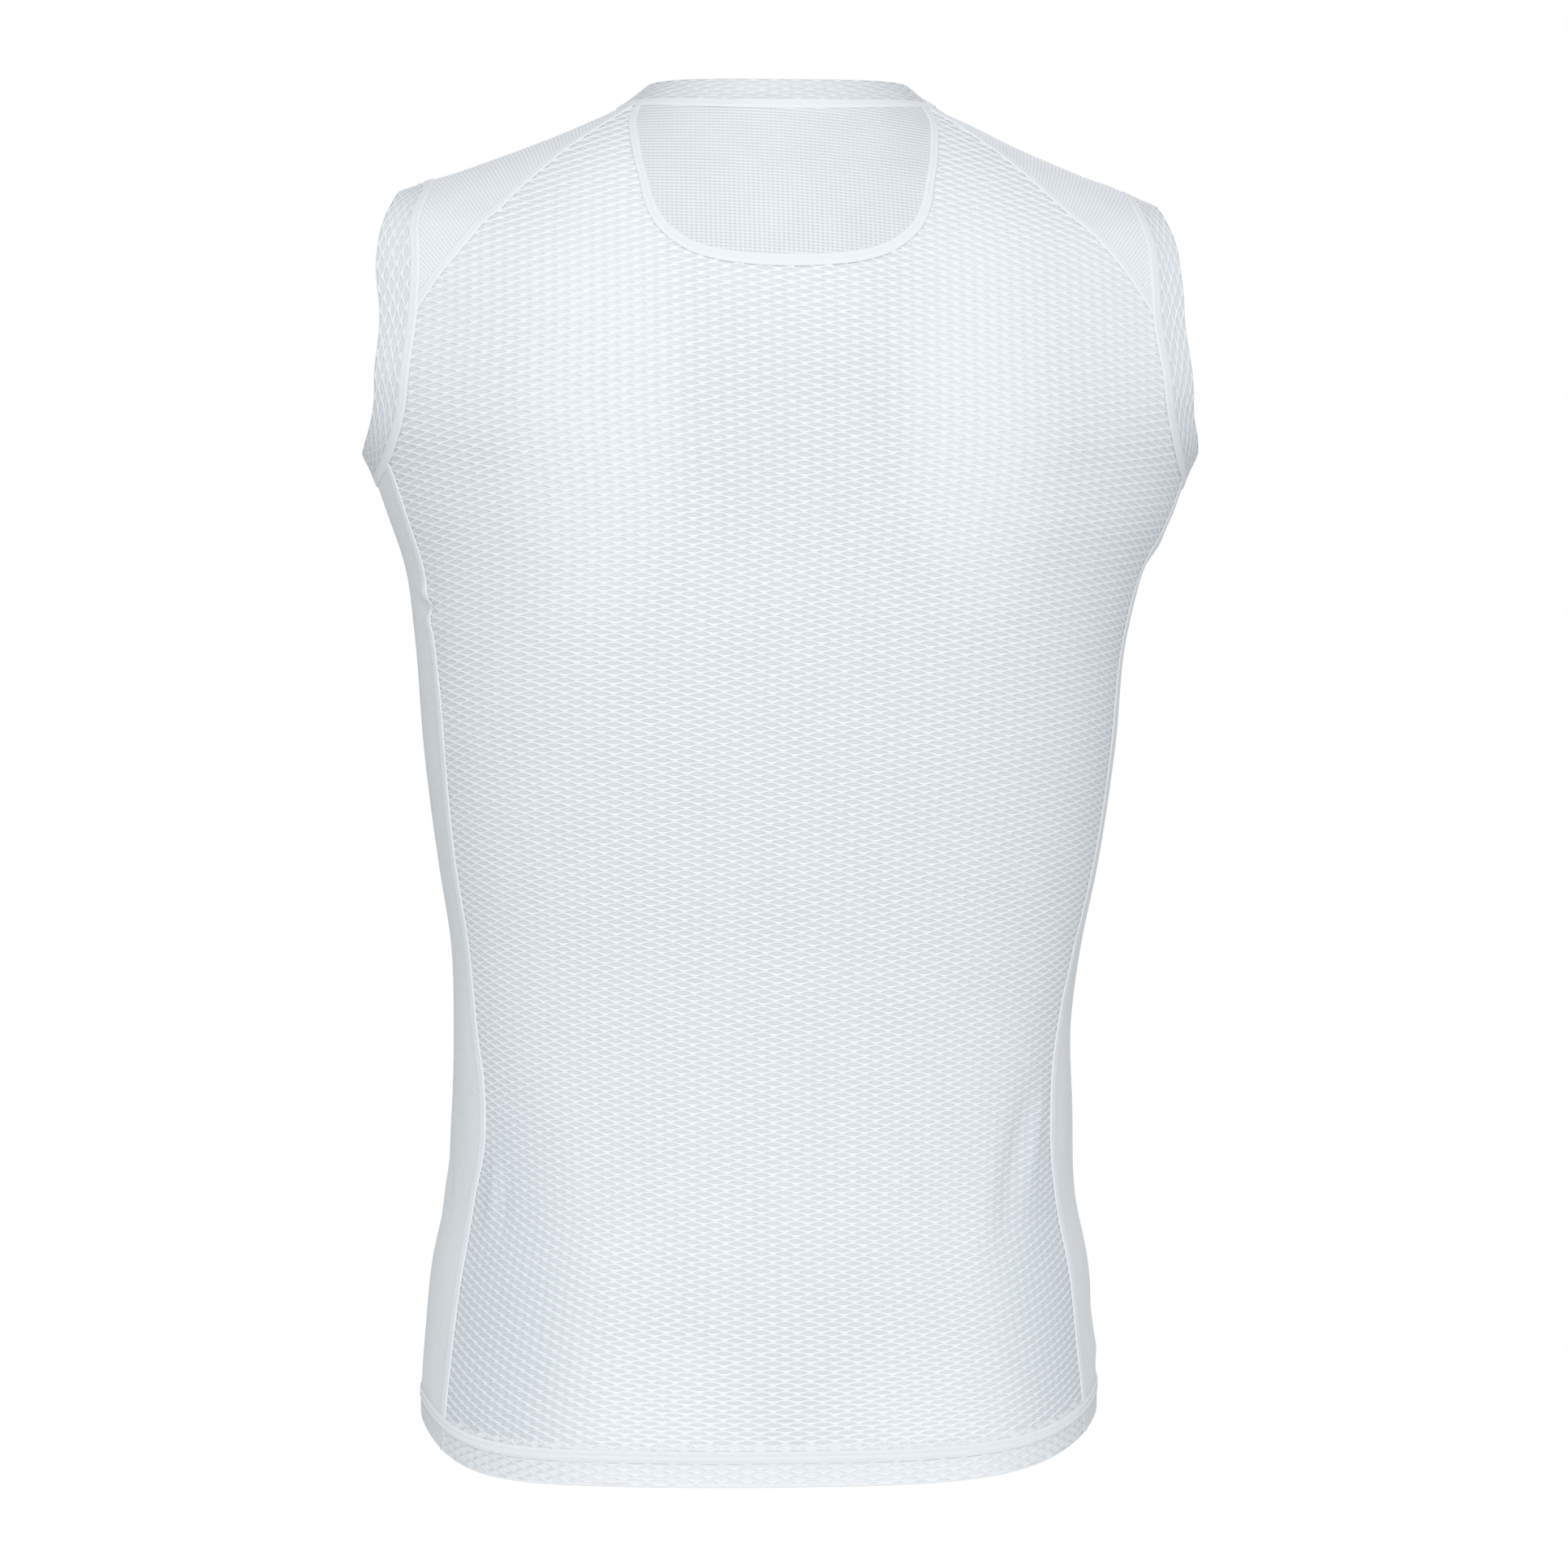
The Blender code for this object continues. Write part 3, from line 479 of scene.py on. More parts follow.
def build_lines():
    for side, tag in SIDES:
        top = SIDE_SEAMS[-1]
        foot = {"back": arm_angle(top[SIDE_SEAM_COLUMNS.index("back_" + tag)]),
                "front": arm_angle(top[SIDE_SEAM_COLUMNS.index("front")])}
        ARM_FOOT[tag] = foot
        for name in ("back", "front"):
            col = SIDE_SEAM_COLUMNS.index("front" if name == "front" else "back_" + tag)
            rows = [(side * row[col] * DEG, row[0] * MM) for row in SIDE_SEAMS[:-1]]
            rows.append(tuple(arm_seam(side, foot[name])))
            LINES["side_%s_%s" % (name, tag)] = smooth_line(rows, FINE)
        for name, theta in (("back", MEET), ("front", math.pi - MEET)):
            col = SHOULDER_COLUMNS.index("front" if name == "front" else "back_" + tag)
            rows = []
            for row in SHOULDER:
                if row[0] == "arm":
                    rows.append(tuple(arm_seam(side, theta)))
                else:
                    rows.append((side * row[col] * DEG, V_NECK if row[0] == "neck" else row[0] * MM))
            LINES["shoulder_%s_%s" % (name, tag)] = smooth_line(rows, FINE)
        LINES["arm_seam_" + tag] = arm_seam(side, np.linspace(-math.pi, math.pi, 361))
    half = [(u * DEG, V_NECK if v == "neck" else v * MM) for v, u in YOKE]
    LINES["yoke"] = smooth_line(half + [(-u, v) for u, v in reversed(half[:-1])], FINE)
    LINES["neck_seam"] = level_line(V_NECK, -math.pi, math.pi)
    LINES["hem_stitch"] = level_line(V_FOLD - HEM_STITCH_UNDER * MM, -math.pi, math.pi)


def arm_arc(side, a, b):
    n = max(2, int(abs(b - a) * 0.088 / FINE))
    return arm_seam(side, np.linspace(a, b, n + 1))


def joined(*parts):
    """One closed outline from parts that meet end to end."""
    return np.concatenate([p[:-1] for p in parts])


def clipped(line, v):
    """A side seam's line from height v up."""
    u = np.interp(v, line[:, 1], line[:, 0])
    return np.concatenate([[[u, v]], line[line[:, 1] > v + 0.4 * MM]])


build_lines()
HEM_LOW = DOUBLE_FACE * MM       # where the hem's outer face starts to roll


def outlines():
    out = {}
    L = LINES
    sb = {t: clipped(L["side_back_" + t], HEM_LOW) for _, t in SIDES}
    sf = {t: clipped(L["side_front_" + t], HEM_LOW) for _, t in SIDES}
    out["back_panel"] = joined(
        level_line(HEM_LOW, sb["right"][0, 0], sb["left"][0, 0]),
        sb["left"], arm_arc(1, ARM_FOOT["left"]["back"], MEET),
        L["shoulder_back_left"][::-1],
        level_line(V_NECK, L["shoulder_back_left"][0, 0], L["yoke"][0, 0]),
        L["yoke"],
        level_line(V_NECK, L["yoke"][-1, 0], L["shoulder_back_right"][0, 0]),
        L["shoulder_back_right"],
        arm_arc(-1, MEET, ARM_FOOT["right"]["back"]), sb["right"][::-1])
    turn = np.array([2 * math.pi, 0.0])      # the right half, u past 180 degrees
    out["front_panel"] = joined(
        level_line(HEM_LOW, sf["left"][0, 0], sf["right"][0, 0] + 2 * math.pi),
        sf["right"] + turn,
        arm_arc(-1, ARM_FOOT["right"]["front"] + 2 * math.pi, math.pi - MEET) + turn,
        L["shoulder_front_right"][::-1] + turn,
        level_line(V_NECK, L["shoulder_front_right"][0, 0] + 2 * math.pi, L["shoulder_front_left"][0, 0]),
        L["shoulder_front_left"],
        arm_arc(1, math.pi - MEET, ARM_FOOT["left"]["front"] + 2 * math.pi),
        sf["left"][::-1])
    out["back_yoke"] = joined(L["yoke"], level_line(V_NECK, L["yoke"][-1, 0], L["yoke"][0, 0]))
    for side, tag in SIDES:
        out["side_panel_" + tag] = joined(
            level_line(HEM_LOW, sb[tag][0, 0], sf[tag][0, 0]), sf[tag],
            arm_arc(side, ARM_FOOT[tag]["front"], ARM_FOOT[tag]["back"]), sb[tag][::-1])
        out["shoulder_panel_" + tag] = joined(
            level_line(V_NECK, L["shoulder_back_" + tag][0, 0], L["shoulder_front_" + tag][0, 0]),
            L["shoulder_front_" + tag], arm_arc(side, math.pi - MEET, MEET),
            L["shoulder_back_" + tag][::-1])
    return out


# ---------------------------------------------------------------- laid flat
def grid_read(grid, a, b):
    """Bilinear reading of grid[i, j] at fractional places a, b."""
    i = np.clip(np.floor(a).astype(int), 0, grid.shape[0] - 2)
    j = np.clip(np.floor(b).astype(int), 0, grid.shape[1] - 2)
    f, g = np.clip(a - i, 0, 1), np.clip(b - j, 0, 1)
    return ((1 - f) * (1 - g) * grid[i, j] + f * (1 - g) * grid[i + 1, j]
            + (1 - f) * g * grid[i, j + 1] + f * g * grid[i + 1, j + 1])


class LaidFlat:
    """A knit laid flat: s across from its centre line, t up it, in mm. Its
    rows run level round the body but for their tilt and bow."""

    STEP = 0.002

    def __init__(self, centre, tilted):
        self.centre, self.tilted = centre, tilted
        self.u = np.linspace(-2.45, 2.45, 491)
        v = np.linspace(-0.04, V_TOP + 0.12, 460)
        z = surface(self.u[:, None] + centre, v[None])[..., 2]
        self.z = np.arange(-0.70, 0.0401, self.STEP)
        vz = np.stack([np.interp(self.z, z[i], v) for i in range(len(self.u))])
        p = surface(self.u[:, None] + centre, vz)[..., :2]
        s = np.cumsum(np.linalg.norm(np.diff(p, axis=0), axis=2), axis=0)
        s = np.concatenate([np.zeros((1, s.shape[1])), s])
        self.s_of_u = s - s[len(self.u) // 2]
        self.s = np.arange(-0.36, 0.3601, self.STEP)
        self.u_of_s = np.stack([np.interp(self.s, self.s_of_u[:, k], self.u)
                                for k in range(len(self.z))], 1)
        self.v_of_s = np.stack([np.interp(self.u_of_s[:, k], self.u, vz[:, k])
                                for k in range(len(self.z))], 1)
        line = surface(np.full(len(v), centre), v)
        t = np.concatenate([[0.0], np.cumsum(np.linalg.norm(np.diff(line, axis=0), axis=1))])
        t -= np.interp(0.0, v, t)
        self.line_z, self.line_t = line[:, 2], t

    def lie(self, z):
        rows = column(LIE, LIE_COLUMNS, "z") * MM
        k, tilt, bow, side = (np.interp(z, rows, column(LIE, LIE_COLUMNS, n))
                              for n in ("stretch", "tilt", "bow", "side"))
        return k, tilt * self.tilted, bow * MM, side * self.tilted / 0.2

    def to_garment(self, s, t):
        zc = np.interp(t * MM, self.line_t, self.line_z)
        k, tilt, bow, side = self.lie(zc)
        s = s * MM * k
        s = s + side * s * np.abs(s)
        z = zc + tilt * s + bow * (s / 0.1) ** 2
        a, b = (s - self.s[0]) / self.STEP, (z - self.z[0]) / self.STEP
        return grid_read(self.u_of_s, a, b) + self.centre, grid_read(self.v_of_s, a, b)

    def to_flat(self, u, v):
        z = surface(u, v)[..., 2]
        a = (u - self.centre - self.u[0]) / (self.u[1] - self.u[0])
        s = grid_read(self.s_of_u, a, (z - self.z[0]) / self.STEP)
        zc = z.copy()
        for _ in range(30):
            _, tilt, bow, side = self.lie(zc)
            zc = z - tilt * s - bow * (s / 0.1) ** 2
        k, _, _, side = self.lie(zc)
        side = np.where(np.abs(side) < 1e-6, 1e-6, side)
        s = np.sign(s) * (np.sqrt(np.maximum(1 + 4 * side * np.abs(s), 0.05)) - 1) / (2 * side)
        return np.stack([s / k, np.interp(zc, self.line_z, self.line_t)], -1) / MM


class AroundBand:
    """A band laid flat: s along it, t across it from its seam, in mm."""

    def __init__(self, place, length, width):
        self.place, self.length, self.width = place, length, width

    def to_garment(self, s, t):
        uv = self.place(s / self.length, t * MM)
        return uv[..., 0], uv[..., 1]


# ---------------------------------------------------------------- eyelet net
def in_outline(p, outline):
    a, b = outline, np.roll(outline, -1, axis=0)
    inside = np.zeros(len(p), bool)
    for lo in range(0, len(p), 4000):
        q = p[lo:lo + 4000]
        y = q[:, 1][:, None]
        hit = (a[None, :, 1] > y) != (b[None, :, 1] > y)
        rise = b[:, 1] - a[:, 1]
        rise = np.where(np.abs(rise) < 1e-12, 1e-12, rise)
        x = a[:, 0] + (y - a[:, 1]) / rise * (b[:, 0] - a[:, 0])
        inside[lo:lo + 4000] = (hit & (q[:, 0][:, None] < x)).sum(1) % 2 == 1
    return inside


def clearance(p, outline):
    out = np.empty(len(p))
    a, b = outline, np.roll(outline, -1, axis=0)
    d = b - a
    dd = np.maximum((d * d).sum(1), 1e-12)
    for lo in range(0, len(p), 2000):
        q = p[lo:lo + 2000, None]
        t = np.clip(((q - a) * d).sum(2) / dd, 0, 1)
        out[lo:lo + 2000] = np.linalg.norm(a + d * t[..., None] - q, axis=2).min(1)
    return out


class Net:
    """points in mm, kind of each (0 crest, 1 eyelet rim, 2 eyelet floor, 3
    trim), triangles, and part of each (0 strand, 1 eyelet floor)."""

    def __init__(self):
        self.points, self.kind, self.tris, self.part = [], [], [], []
        self.count = 0

    def add_points(self, p, kind):
        first = self.count
        self.points.append(np.asarray(p, float).reshape(-1, 2))
        self.kind.append(np.full(len(self.points[-1]), kind))
        self.count += len(self.points[-1])
        return first

    def add_tris(self, t, part):
        t = np.asarray(t, int).reshape(-1, 3)
        self.tris.append(t)
        self.part.append(np.full(len(t), part))

    def done(self):
        self.points, self.kind = np.concatenate(self.points), np.concatenate(self.kind)
        self.tris, self.part = np.concatenate(self.tris), np.concatenate(self.part)
        return self


def eyelet_shape(pitch, repeat):
    """Twelve points round an eyelet, anticlockwise from its right tip."""
    long, up, down = EYELET_LONG * pitch, EYELET_UP * repeat, EYELET_DOWN * repeat
    x = np.array([1.0, 0.78, 0.42, 0.0, -0.42, -0.78, -1.0, -0.78, -0.42, 0.0, 0.42, 0.78])
    rise = 1 - np.abs(x) ** 1.5
    y = np.where(np.arange(12) <= 6, up, -down) * rise
    return np.stack([x * long, y], 1)


RING = ((0, 7, 6), (0, 6, 17), (0, 1, 7), (1, 8, 7), (1, 9, 8), (1, 2, 9),
        (2, 10, 9), (2, 11, 10), (2, 3, 11), (3, 12, 11), (3, 13, 12), (3, 4, 13),
        (4, 14, 13), (4, 15, 14), (4, 5, 15), (5, 16, 15), (5, 17, 16), (5, 0, 17))
FLOOR = ((0, 1, 11), (1, 2, 10), (1, 10, 11), (2, 3, 9), (2, 9, 10),
         (3, 4, 8), (3, 8, 9), (4, 5, 7), (4, 7, 8), (6, 7, 5))


def eyelet_net(outline, pitch, repeat, shift, opening):
    """Net of a knit with staggered eyelets inside a closed outline, in mm.
    opening(points) says how wide each eyelet stands, from 0 to 1. Behind each
    lies a floor of its own, sunk and a little larger than the eyelet."""
    tip = TILE_TIP * pitch
    lo, hi = outline.min(0) - pitch, outline.max(0) + pitch
    half_x, half_y = pitch / 2, repeat / 2
    i0, i1 = int(math.floor((lo[0] - shift[0]) / half_x)), int(math.ceil((hi[0] - shift[0]) / half_x))
    j0, j1 = int(math.floor((lo[1] - shift[1]) / half_y)), int(math.ceil((hi[1] - shift[1]) / half_y))
    I, J = np.meshgrid(np.arange(i0, i1 + 1), np.arange(j0, j1 + 1), indexing="ij")
    keep = (I + J) % 2 == 0
    cell = np.stack([I[keep], J[keep]], 1)

    def middle(c):
        return np.stack([c[:, 0] * half_x + shift[0], c[:, 1] * half_y + shift[1]], 1)

    mid = middle(cell)
    inside = in_outline(mid, outline)
    far = clearance(mid, outline)
    reach = math.hypot(tip, half_y) + 0.15
    whole = inside & (far > reach)
    cut = ~whole & (inside | (far < reach))
    span = 4 * (j1 - j0 + 8)

    def corner_keys(c):
        """Keys of a tile's six corners: each is the right or left tip of a tile."""
        i, j = c[:, 0] - i0 + 2, c[:, 1] - j0 + 2
        own = ((i, j, 1), (i + 1, j + 1, 0), (i - 1, j + 1, 1), (i, j, 0), (i - 1, j - 1, 1), (i + 1, j - 1, 0))
        return np.stack([(a * span + b) * 2 + s for a, b, s in own], 1)

    def corner_place(keys):
        s = keys % 2
        rest = keys // 2
        i, j = rest // span + i0 - 2, rest % span + j0 - 2
        return np.stack([i * half_x + shift[0] + np.where(s == 1, tip, -tip), j * half_y + shift[1]], 1)

    shape = eyelet_shape(pitch, repeat)

    def shapes(m):
        wide = opening(m)[:, None, None]
        size = np.concatenate([0.86 + 0.14 * wide, wide], 2)
        return m[:, None] + shape[None] * size

    net = Net()
    keys = corner_keys(cell[whole])
    used, where = np.unique(keys, return_inverse=True)
    net.add_points(corner_place(used), 0)
    where = where.reshape(keys.shape)
    known = {int(k): n for n, k in enumerate(used)}
    m = mid[whole]
    rim = net.add_points(shapes(m), 1)
    ids = np.concatenate([where, rim + np.arange(len(m) * 12).reshape(-1, 12)], 1)
    net.add_tris(ids[:, np.array(RING)], 0)
    first = net.add_points(m[:, None] + (shapes(m) - m[:, None]) * np.array(FLOOR_OVER), 2)
    ground = first + np.arange(len(m) * 12).reshape(-1, 12)
    net.add_tris(ground[:, np.array(FLOOR)], 1)

    # tiles that the outline crosses
    cc, cm = cell[cut], mid[cut]
    ck = corner_keys(cc)
    cused, cwhere = np.unique(ck, return_inverse=True)
    cwhere = cwhere.reshape(ck.shape)
    pts = [corner_place(cused), shapes(cm).reshape(-1, 2), outline]
    n0, n1 = len(pts[0]), len(pts[0]) + len(pts[1])
    allp = np.concatenate(pts)
    edges = {tuple(sorted((int(a), int(b)))) for row in cwhere
             for a, b in zip(row, np.roll(row, -1))}
    edges |= {(n0 + 12 * c + k, n0 + 12 * c + (k + 1) % 12) for c in range(len(cm)) for k in range(12)}
    n = len(outline)
    edges |= {(n1 + k, n1 + (k + 1) % n) for k in range(n)}
    got = delaunay_2d_cdt([Vector(p) for p in allp], sorted(edges), [], 0, 1e-5, True)
    gp = np.array([tuple(p) for p in got[0]])
    faces = np.array([tuple(f) for f in got[2]])
    centroid = gp[faces].mean(1)
    ok = in_outline(centroid, outline)
    faces, centroid = faces[ok], centroid[ok]

    cut_of = {(int(a), int(b)): n for n, (a, b) in enumerate(cc)}
    fx, fy = (centroid[:, 0] - shift[0]) / half_x, (centroid[:, 1] - shift[1]) / half_y
    part = np.full(len(faces), -1)
    own = np.full((len(faces), 2), 10 ** 6)
    slope = (tip - (pitch / 2 - tip)) / half_y
    for dj in (0, 1):
        j = np.floor(fy).astype(int) + dj
        base = np.floor(fx).astype(int)
        for di in (-1, 0, 1, 2):
            i = base + di
            good = (i + j) % 2 == 0
            x, y = (fx - i) * half_x, (fy - j) * half_y
            good &= (np.abs(y) <= half_y + 1e-6) & (np.abs(x) <= tip - slope * np.abs(y) + 1e-6)
            own[good] = np.stack([i, j], 1)[good]
    for f, (i, j) in enumerate(own):
        n = cut_of.get((int(i), int(j)))
        if n is None:
            continue
        e = allp[n0 + 12 * n:n0 + 12 * n + 12]
        x, y = centroid[f]
        in_eye = (e[6, 0] < x < e[0, 0]
                  and np.interp(x, e[6:, 0], e[6:, 1]) < y < np.interp(x, e[6::-1, 0], e[6::-1, 1])
                  and y > np.interp(x, np.append(e[6:, 0], e[0, 0]), np.append(e[6:, 1], e[0, 1])))
        part[f] = 1 if in_eye else 0
    faces, part = faces[part >= 0], part[part >= 0]
    ids = np.full(len(gp), -1)
    new_p, new_k = [], []
    for k in np.unique(faces):
        kinds = [o for o in got[3][k]]
        corner = [o for o in kinds if o < n0]
        if corner and int(cused[corner[0]]) in known:
            ids[k] = known[int(cused[corner[0]])]
            continue
        ids[k] = net.count + len(new_p)
        new_p.append(gp[k])
        new_k.append(0 if corner else 1 if any(o < n1 for o in kinds) else 3)
    deep = np.full(len(gp), -1)
    for k in np.unique(faces[part == 1]):
        deep[k] = net.count + len(new_p)
        new_p.append(gp[k])
        new_k.append(2)
    net.points.append(np.array(new_p).reshape(-1, 2))
    net.kind.append(np.array(new_k))
    net.count += len(new_p)
    tris = np.where((part == 1)[:, None], deep[faces], ids[faces])
    a, b, c = gp[faces[:, 0]], gp[faces[:, 1]], gp[faces[:, 2]]
    turned = (b[:, 0] - a[:, 0]) * (c[:, 1] - a[:, 1]) - (b[:, 1] - a[:, 1]) * (c[:, 0] - a[:, 0]) < 0
    tris[turned] = tris[turned][:, ::-1]
    net.tris.append(tris)
    net.part.append(part)
    return net.done()


# ---------------------------------------------------------------- meshes
def make_piece(name, points, tris, materials, which=None, uv=None, smooth=True):
    """Mesh object in metres. uv is per point, in mm, for the material."""
    used = np.unique(tris)
    back = np.full(len(points), -1)
    back[used] = np.arange(len(used))
    points, tris = points[used], back[tris]
    mesh = bpy.data.meshes.new(name)
    mesh.vertices.add(len(points))
    mesh.vertices.foreach_set("co", points.astype(np.float32).ravel())
    mesh.loops.add(len(tris) * 3)
    mesh.loops.foreach_set("vertex_index", tris.astype(np.int32).ravel())
    mesh.polygons.add(len(tris))
    mesh.polygons.foreach_set("loop_start", np.arange(0, len(tris) * 3, 3, dtype=np.int32))
    if which is not None:
        mesh.polygons.foreach_set("material_index", which.astype(np.int32))
    if uv is not None:
        layer = mesh.uv_layers.new(name="Weave")
        layer.data.foreach_set("uv", uv[used][tris.ravel()].astype(np.float32).ravel())
    for m in materials:
        mesh.materials.append(m)
    mesh.update(calc_edges=True)
    mesh.polygons.foreach_set("use_smooth", np.full(len(tris), smooth))
    mesh.validate()
    ob = bpy.data.objects.new(name, mesh)
    bpy.context.scene.collection.objects.link(ob)
    return ob


def area_of(points, tris):
    a, b, c = points[tris[:, 0]], points[tris[:, 1]], points[tris[:, 2]]
    return float(np.linalg.norm(np.cross(b - a, c - a), axis=1).sum() / 2)


def dress(ob, node):
    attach(ob, "root")
    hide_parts(node)
    return ob


DEPTH = np.array([CREST, EYELET_RIM, EYELET_FLOOR, -0.05])


def full_opening(flat):
    """How wide the back's eyelets stand, by their middles on the flat."""
    def at(m):
        u, v = flat.to_garment(m[:, 0], m[:, 1])
        p = surface(u, v) / MM
        out = np.ones(len(m))
        for x, z, w, h, closes in FULL_BACK:
            d = ((p[:, 0] - x) / w) ** 2 + ((p[:, 2] - z) / h) ** 2
            out -= closes * np.exp(-d * 1.2)
        return np.clip(out, 0.45, 1.0)
    return at


def knit_panel(name, flat, outline, materials, opening):
    """A knit panel in two halves. materials are strand, floor and hem floor."""
    edge = flat.to_flat(outline[:, 0], outline[:, 1])
    net = eyelet_net(edge, PITCH, REPEAT, (0.0, 0.0), opening)
    u, v = flat.to_garment(net.points[:, 0], net.points[:, 1])
    depth = DEPTH[net.kind] * MM
    points = skin(u, v, face_height(v) + depth)
    tris = net.tris[:, ::-1]
    in_hem = v[net.tris].mean(1) < V_FOLD + 2.0 * MM
    which = np.where(net.part == 1, np.where(in_hem, 2, 1), 0)
    middle = net.points[net.tris].mean(1)[:, 0]
    made = []
    for tag, pick in (("_a", middle >= 0), ("_b", middle < 0)):
        ob = make_piece(name + tag, points, tris[pick], materials, which[pick], net.points)
        dress(ob, name)
        flat_area = area_of(np.column_stack([net.points * MM, np.zeros(len(net.points))]), tris[pick])
        box = net.points[np.unique(net.tris[pick])]
        size = (box.max(0) - box.min(0)) * MM
        made.append((ob, size, flat_area))
        print(name + tag, len(tris[pick]), "triangles", round(flat_area, 4), "m2", size)
    return made


def band_panel(name, band, repeats, materials, flip):
    """A folded band's outer ply with its eyelets, in one piece."""
    pitch = band.length / max(1, round(band.length / (PITCH * 1.0)))
    width = band.width
    top = width - DOUBLE_FACE
    outline_s = np.linspace(0, band.length, int(band.length / 3.0))
    edge = np.concatenate([
        np.stack([outline_s[:-1], np.zeros(len(outline_s) - 1)], 1),
        np.stack([np.full(6, band.length), np.linspace(0, top, 6)], 1)[:-1],
        np.stack([outline_s[::-1][:-1], np.full(len(outline_s) - 1, top)], 1),
        np.stack([np.zeros(6), np.linspace(top, 0, 6)], 1)[:-1]])
    repeat = width / repeats
    net = eyelet_net(edge, pitch, repeat, (0.0, width * 0.07), lambda m: np.full(len(m), 0.92))
    u, v = band.to_garment(net.points[:, 0], net.points[:, 1])
    points = skin(u, v, DOUBLE_FACE * MM + DEPTH[net.kind] * MM)
    tris = net.tris if flip else net.tris[:, ::-1]
    return points, tris, np.where(net.part == 1, 1, 0), net.points


def rolled_edge(band, flip, scallop=0.0):
    """The fold at a band's free edge and its inner ply, as a swept grid."""
    n = max(8, int(band.length / 1.9))
    s = np.linspace(0, band.length, n + 1)
    phi = np.linspace(0, math.pi, 8)
    r = DOUBLE_FACE
    t = np.concatenate([band.width - r + r * np.sin(phi), np.linspace(band.width - r, 0.0, 7)[1:]])
    h = np.concatenate([r * np.cos(phi), np.full(6, -r)])
    out = np.concatenate([np.sin(phi) ** 2, np.zeros(6)])
    S, T = np.meshgrid(s, t, indexing="ij")
    T = T + scallop * out[None] * np.sin(2 * math.pi * S / (PITCH / 2))
    u, v = band.to_garment(S, T)
    points = skin(u, v, np.broadcast_to(h * MM, S.shape)).reshape(-1, 3)
    m = len(t)
    a = (np.arange(n)[:, None] * m + np.arange(m - 1)[None]).ravel()
    tris = np.concatenate([np.stack([a, a + m, a + m + 1], 1), np.stack([a, a + m + 1, a + 1], 1)])
    if not flip:
        tris = tris[:, ::-1]
    path = np.concatenate([[0.0], np.cumsum(np.hypot(np.diff(t), np.diff(h)))])
    return points, tris, np.stack([S.ravel(), np.broadcast_to(path, S.shape).ravel()], 1)


def plain_net(outline, step):
    """Triangles over a plain piece, in (u, v)."""
    chart = np.array([0.150, 1.0])
    edge = outline * chart
    keep = [0]
    for i in range(1, len(edge)):
        if np.linalg.norm(edge[i] - edge[keep[-1]]) > step * 0.6:
            keep.append(i)
    edge = edge[keep]
    lo, hi = edge.min(0), edge.max(0)
    nx, ny = int((hi[0] - lo[0]) / step) + 1, int((hi[1] - lo[1]) / (step * 0.87)) + 1
    I, J = np.meshgrid(np.arange(nx + 1), np.arange(ny + 1), indexing="ij")
    grid = np.stack([lo[0] + (I + 0.5 * (J % 2)) * step, lo[1] + J * step * 0.87], -1).reshape(-1, 2)
    grid = grid[in_outline(grid, edge)]
    grid = grid[clearance(grid, edge) > step * 0.45]
    allp = np.concatenate([edge, grid])
    n = len(edge)
    got = delaunay_2d_cdt([Vector(p) for p in allp], [(k, (k + 1) % n) for k in range(n)], [], 0, 1e-7, True)
    gp = np.array([tuple(p) for p in got[0]])
    faces = np.array([tuple(f) for f in got[2]])
    faces = faces[in_outline(gp[faces].mean(1), edge)]
    a, b, c = gp[faces[:, 0]], gp[faces[:, 1]], gp[faces[:, 2]]
    turned = (b[:, 0] - a[:, 0]) * (c[:, 1] - a[:, 1]) - (b[:, 1] - a[:, 1]) * (c[:, 0] - a[:, 0]) < 0
    faces[turned] = faces[turned][:, ::-1]
    return gp / chart, faces


# ---------------------------------------------------------------- seams
class SeamLine:
    """A line on the creased garment that tapes and threads are laid along."""

    def __init__(self, line, height):
        u, v = line[:, 0], line[:, 1]
        self.p = skin(u, v, height)
        self.closed = float(np.linalg.norm(self.p[0] - self.p[-1])) < 1e-5
        t = np.gradient(self.p, axis=0)
        if self.closed:
            t[0] = t[-1] = self.p[1] - self.p[-2]
        self.t = unit(t)
        self.n = skin_normal(u, v)
        self.side = unit(np.cross(self.n, self.t))
        self.x = np.concatenate([[0.0], np.cumsum(np.linalg.norm(np.diff(self.p, axis=0), axis=1))])
        self.length = float(self.x[-1])

    def read(self, a, x):
        return np.stack([np.interp(x, self.x, a[:, k]) for k in range(3)], -1)

    def place(self, x, w, h):
        """Points at x along, w to the side, and h up, in metres."""
        side, n = unit(self.read(self.side, x)), unit(self.read(self.n, x))
        return self.read(self.p, x) + side * np.asarray(w)[..., None] + n * np.asarray(h)[..., None]


TAPE_W = np.array([-1.0, -0.92, -0.78, -0.34, 0.0, 0.34, 0.78, 0.92, 1.0, 0.8, -0.8])
TAPE_H = np.array([-0.12, 0.18, 0.42, 0.42, 0.34, 0.42, 0.42, 0.18, -0.12, -0.46, -0.46])
FLAT_H = np.array([-0.12, 0.14, 0.26, 0.26, 0.25, 0.26, 0.26, 0.14, -0.12, -0.46, -0.46])


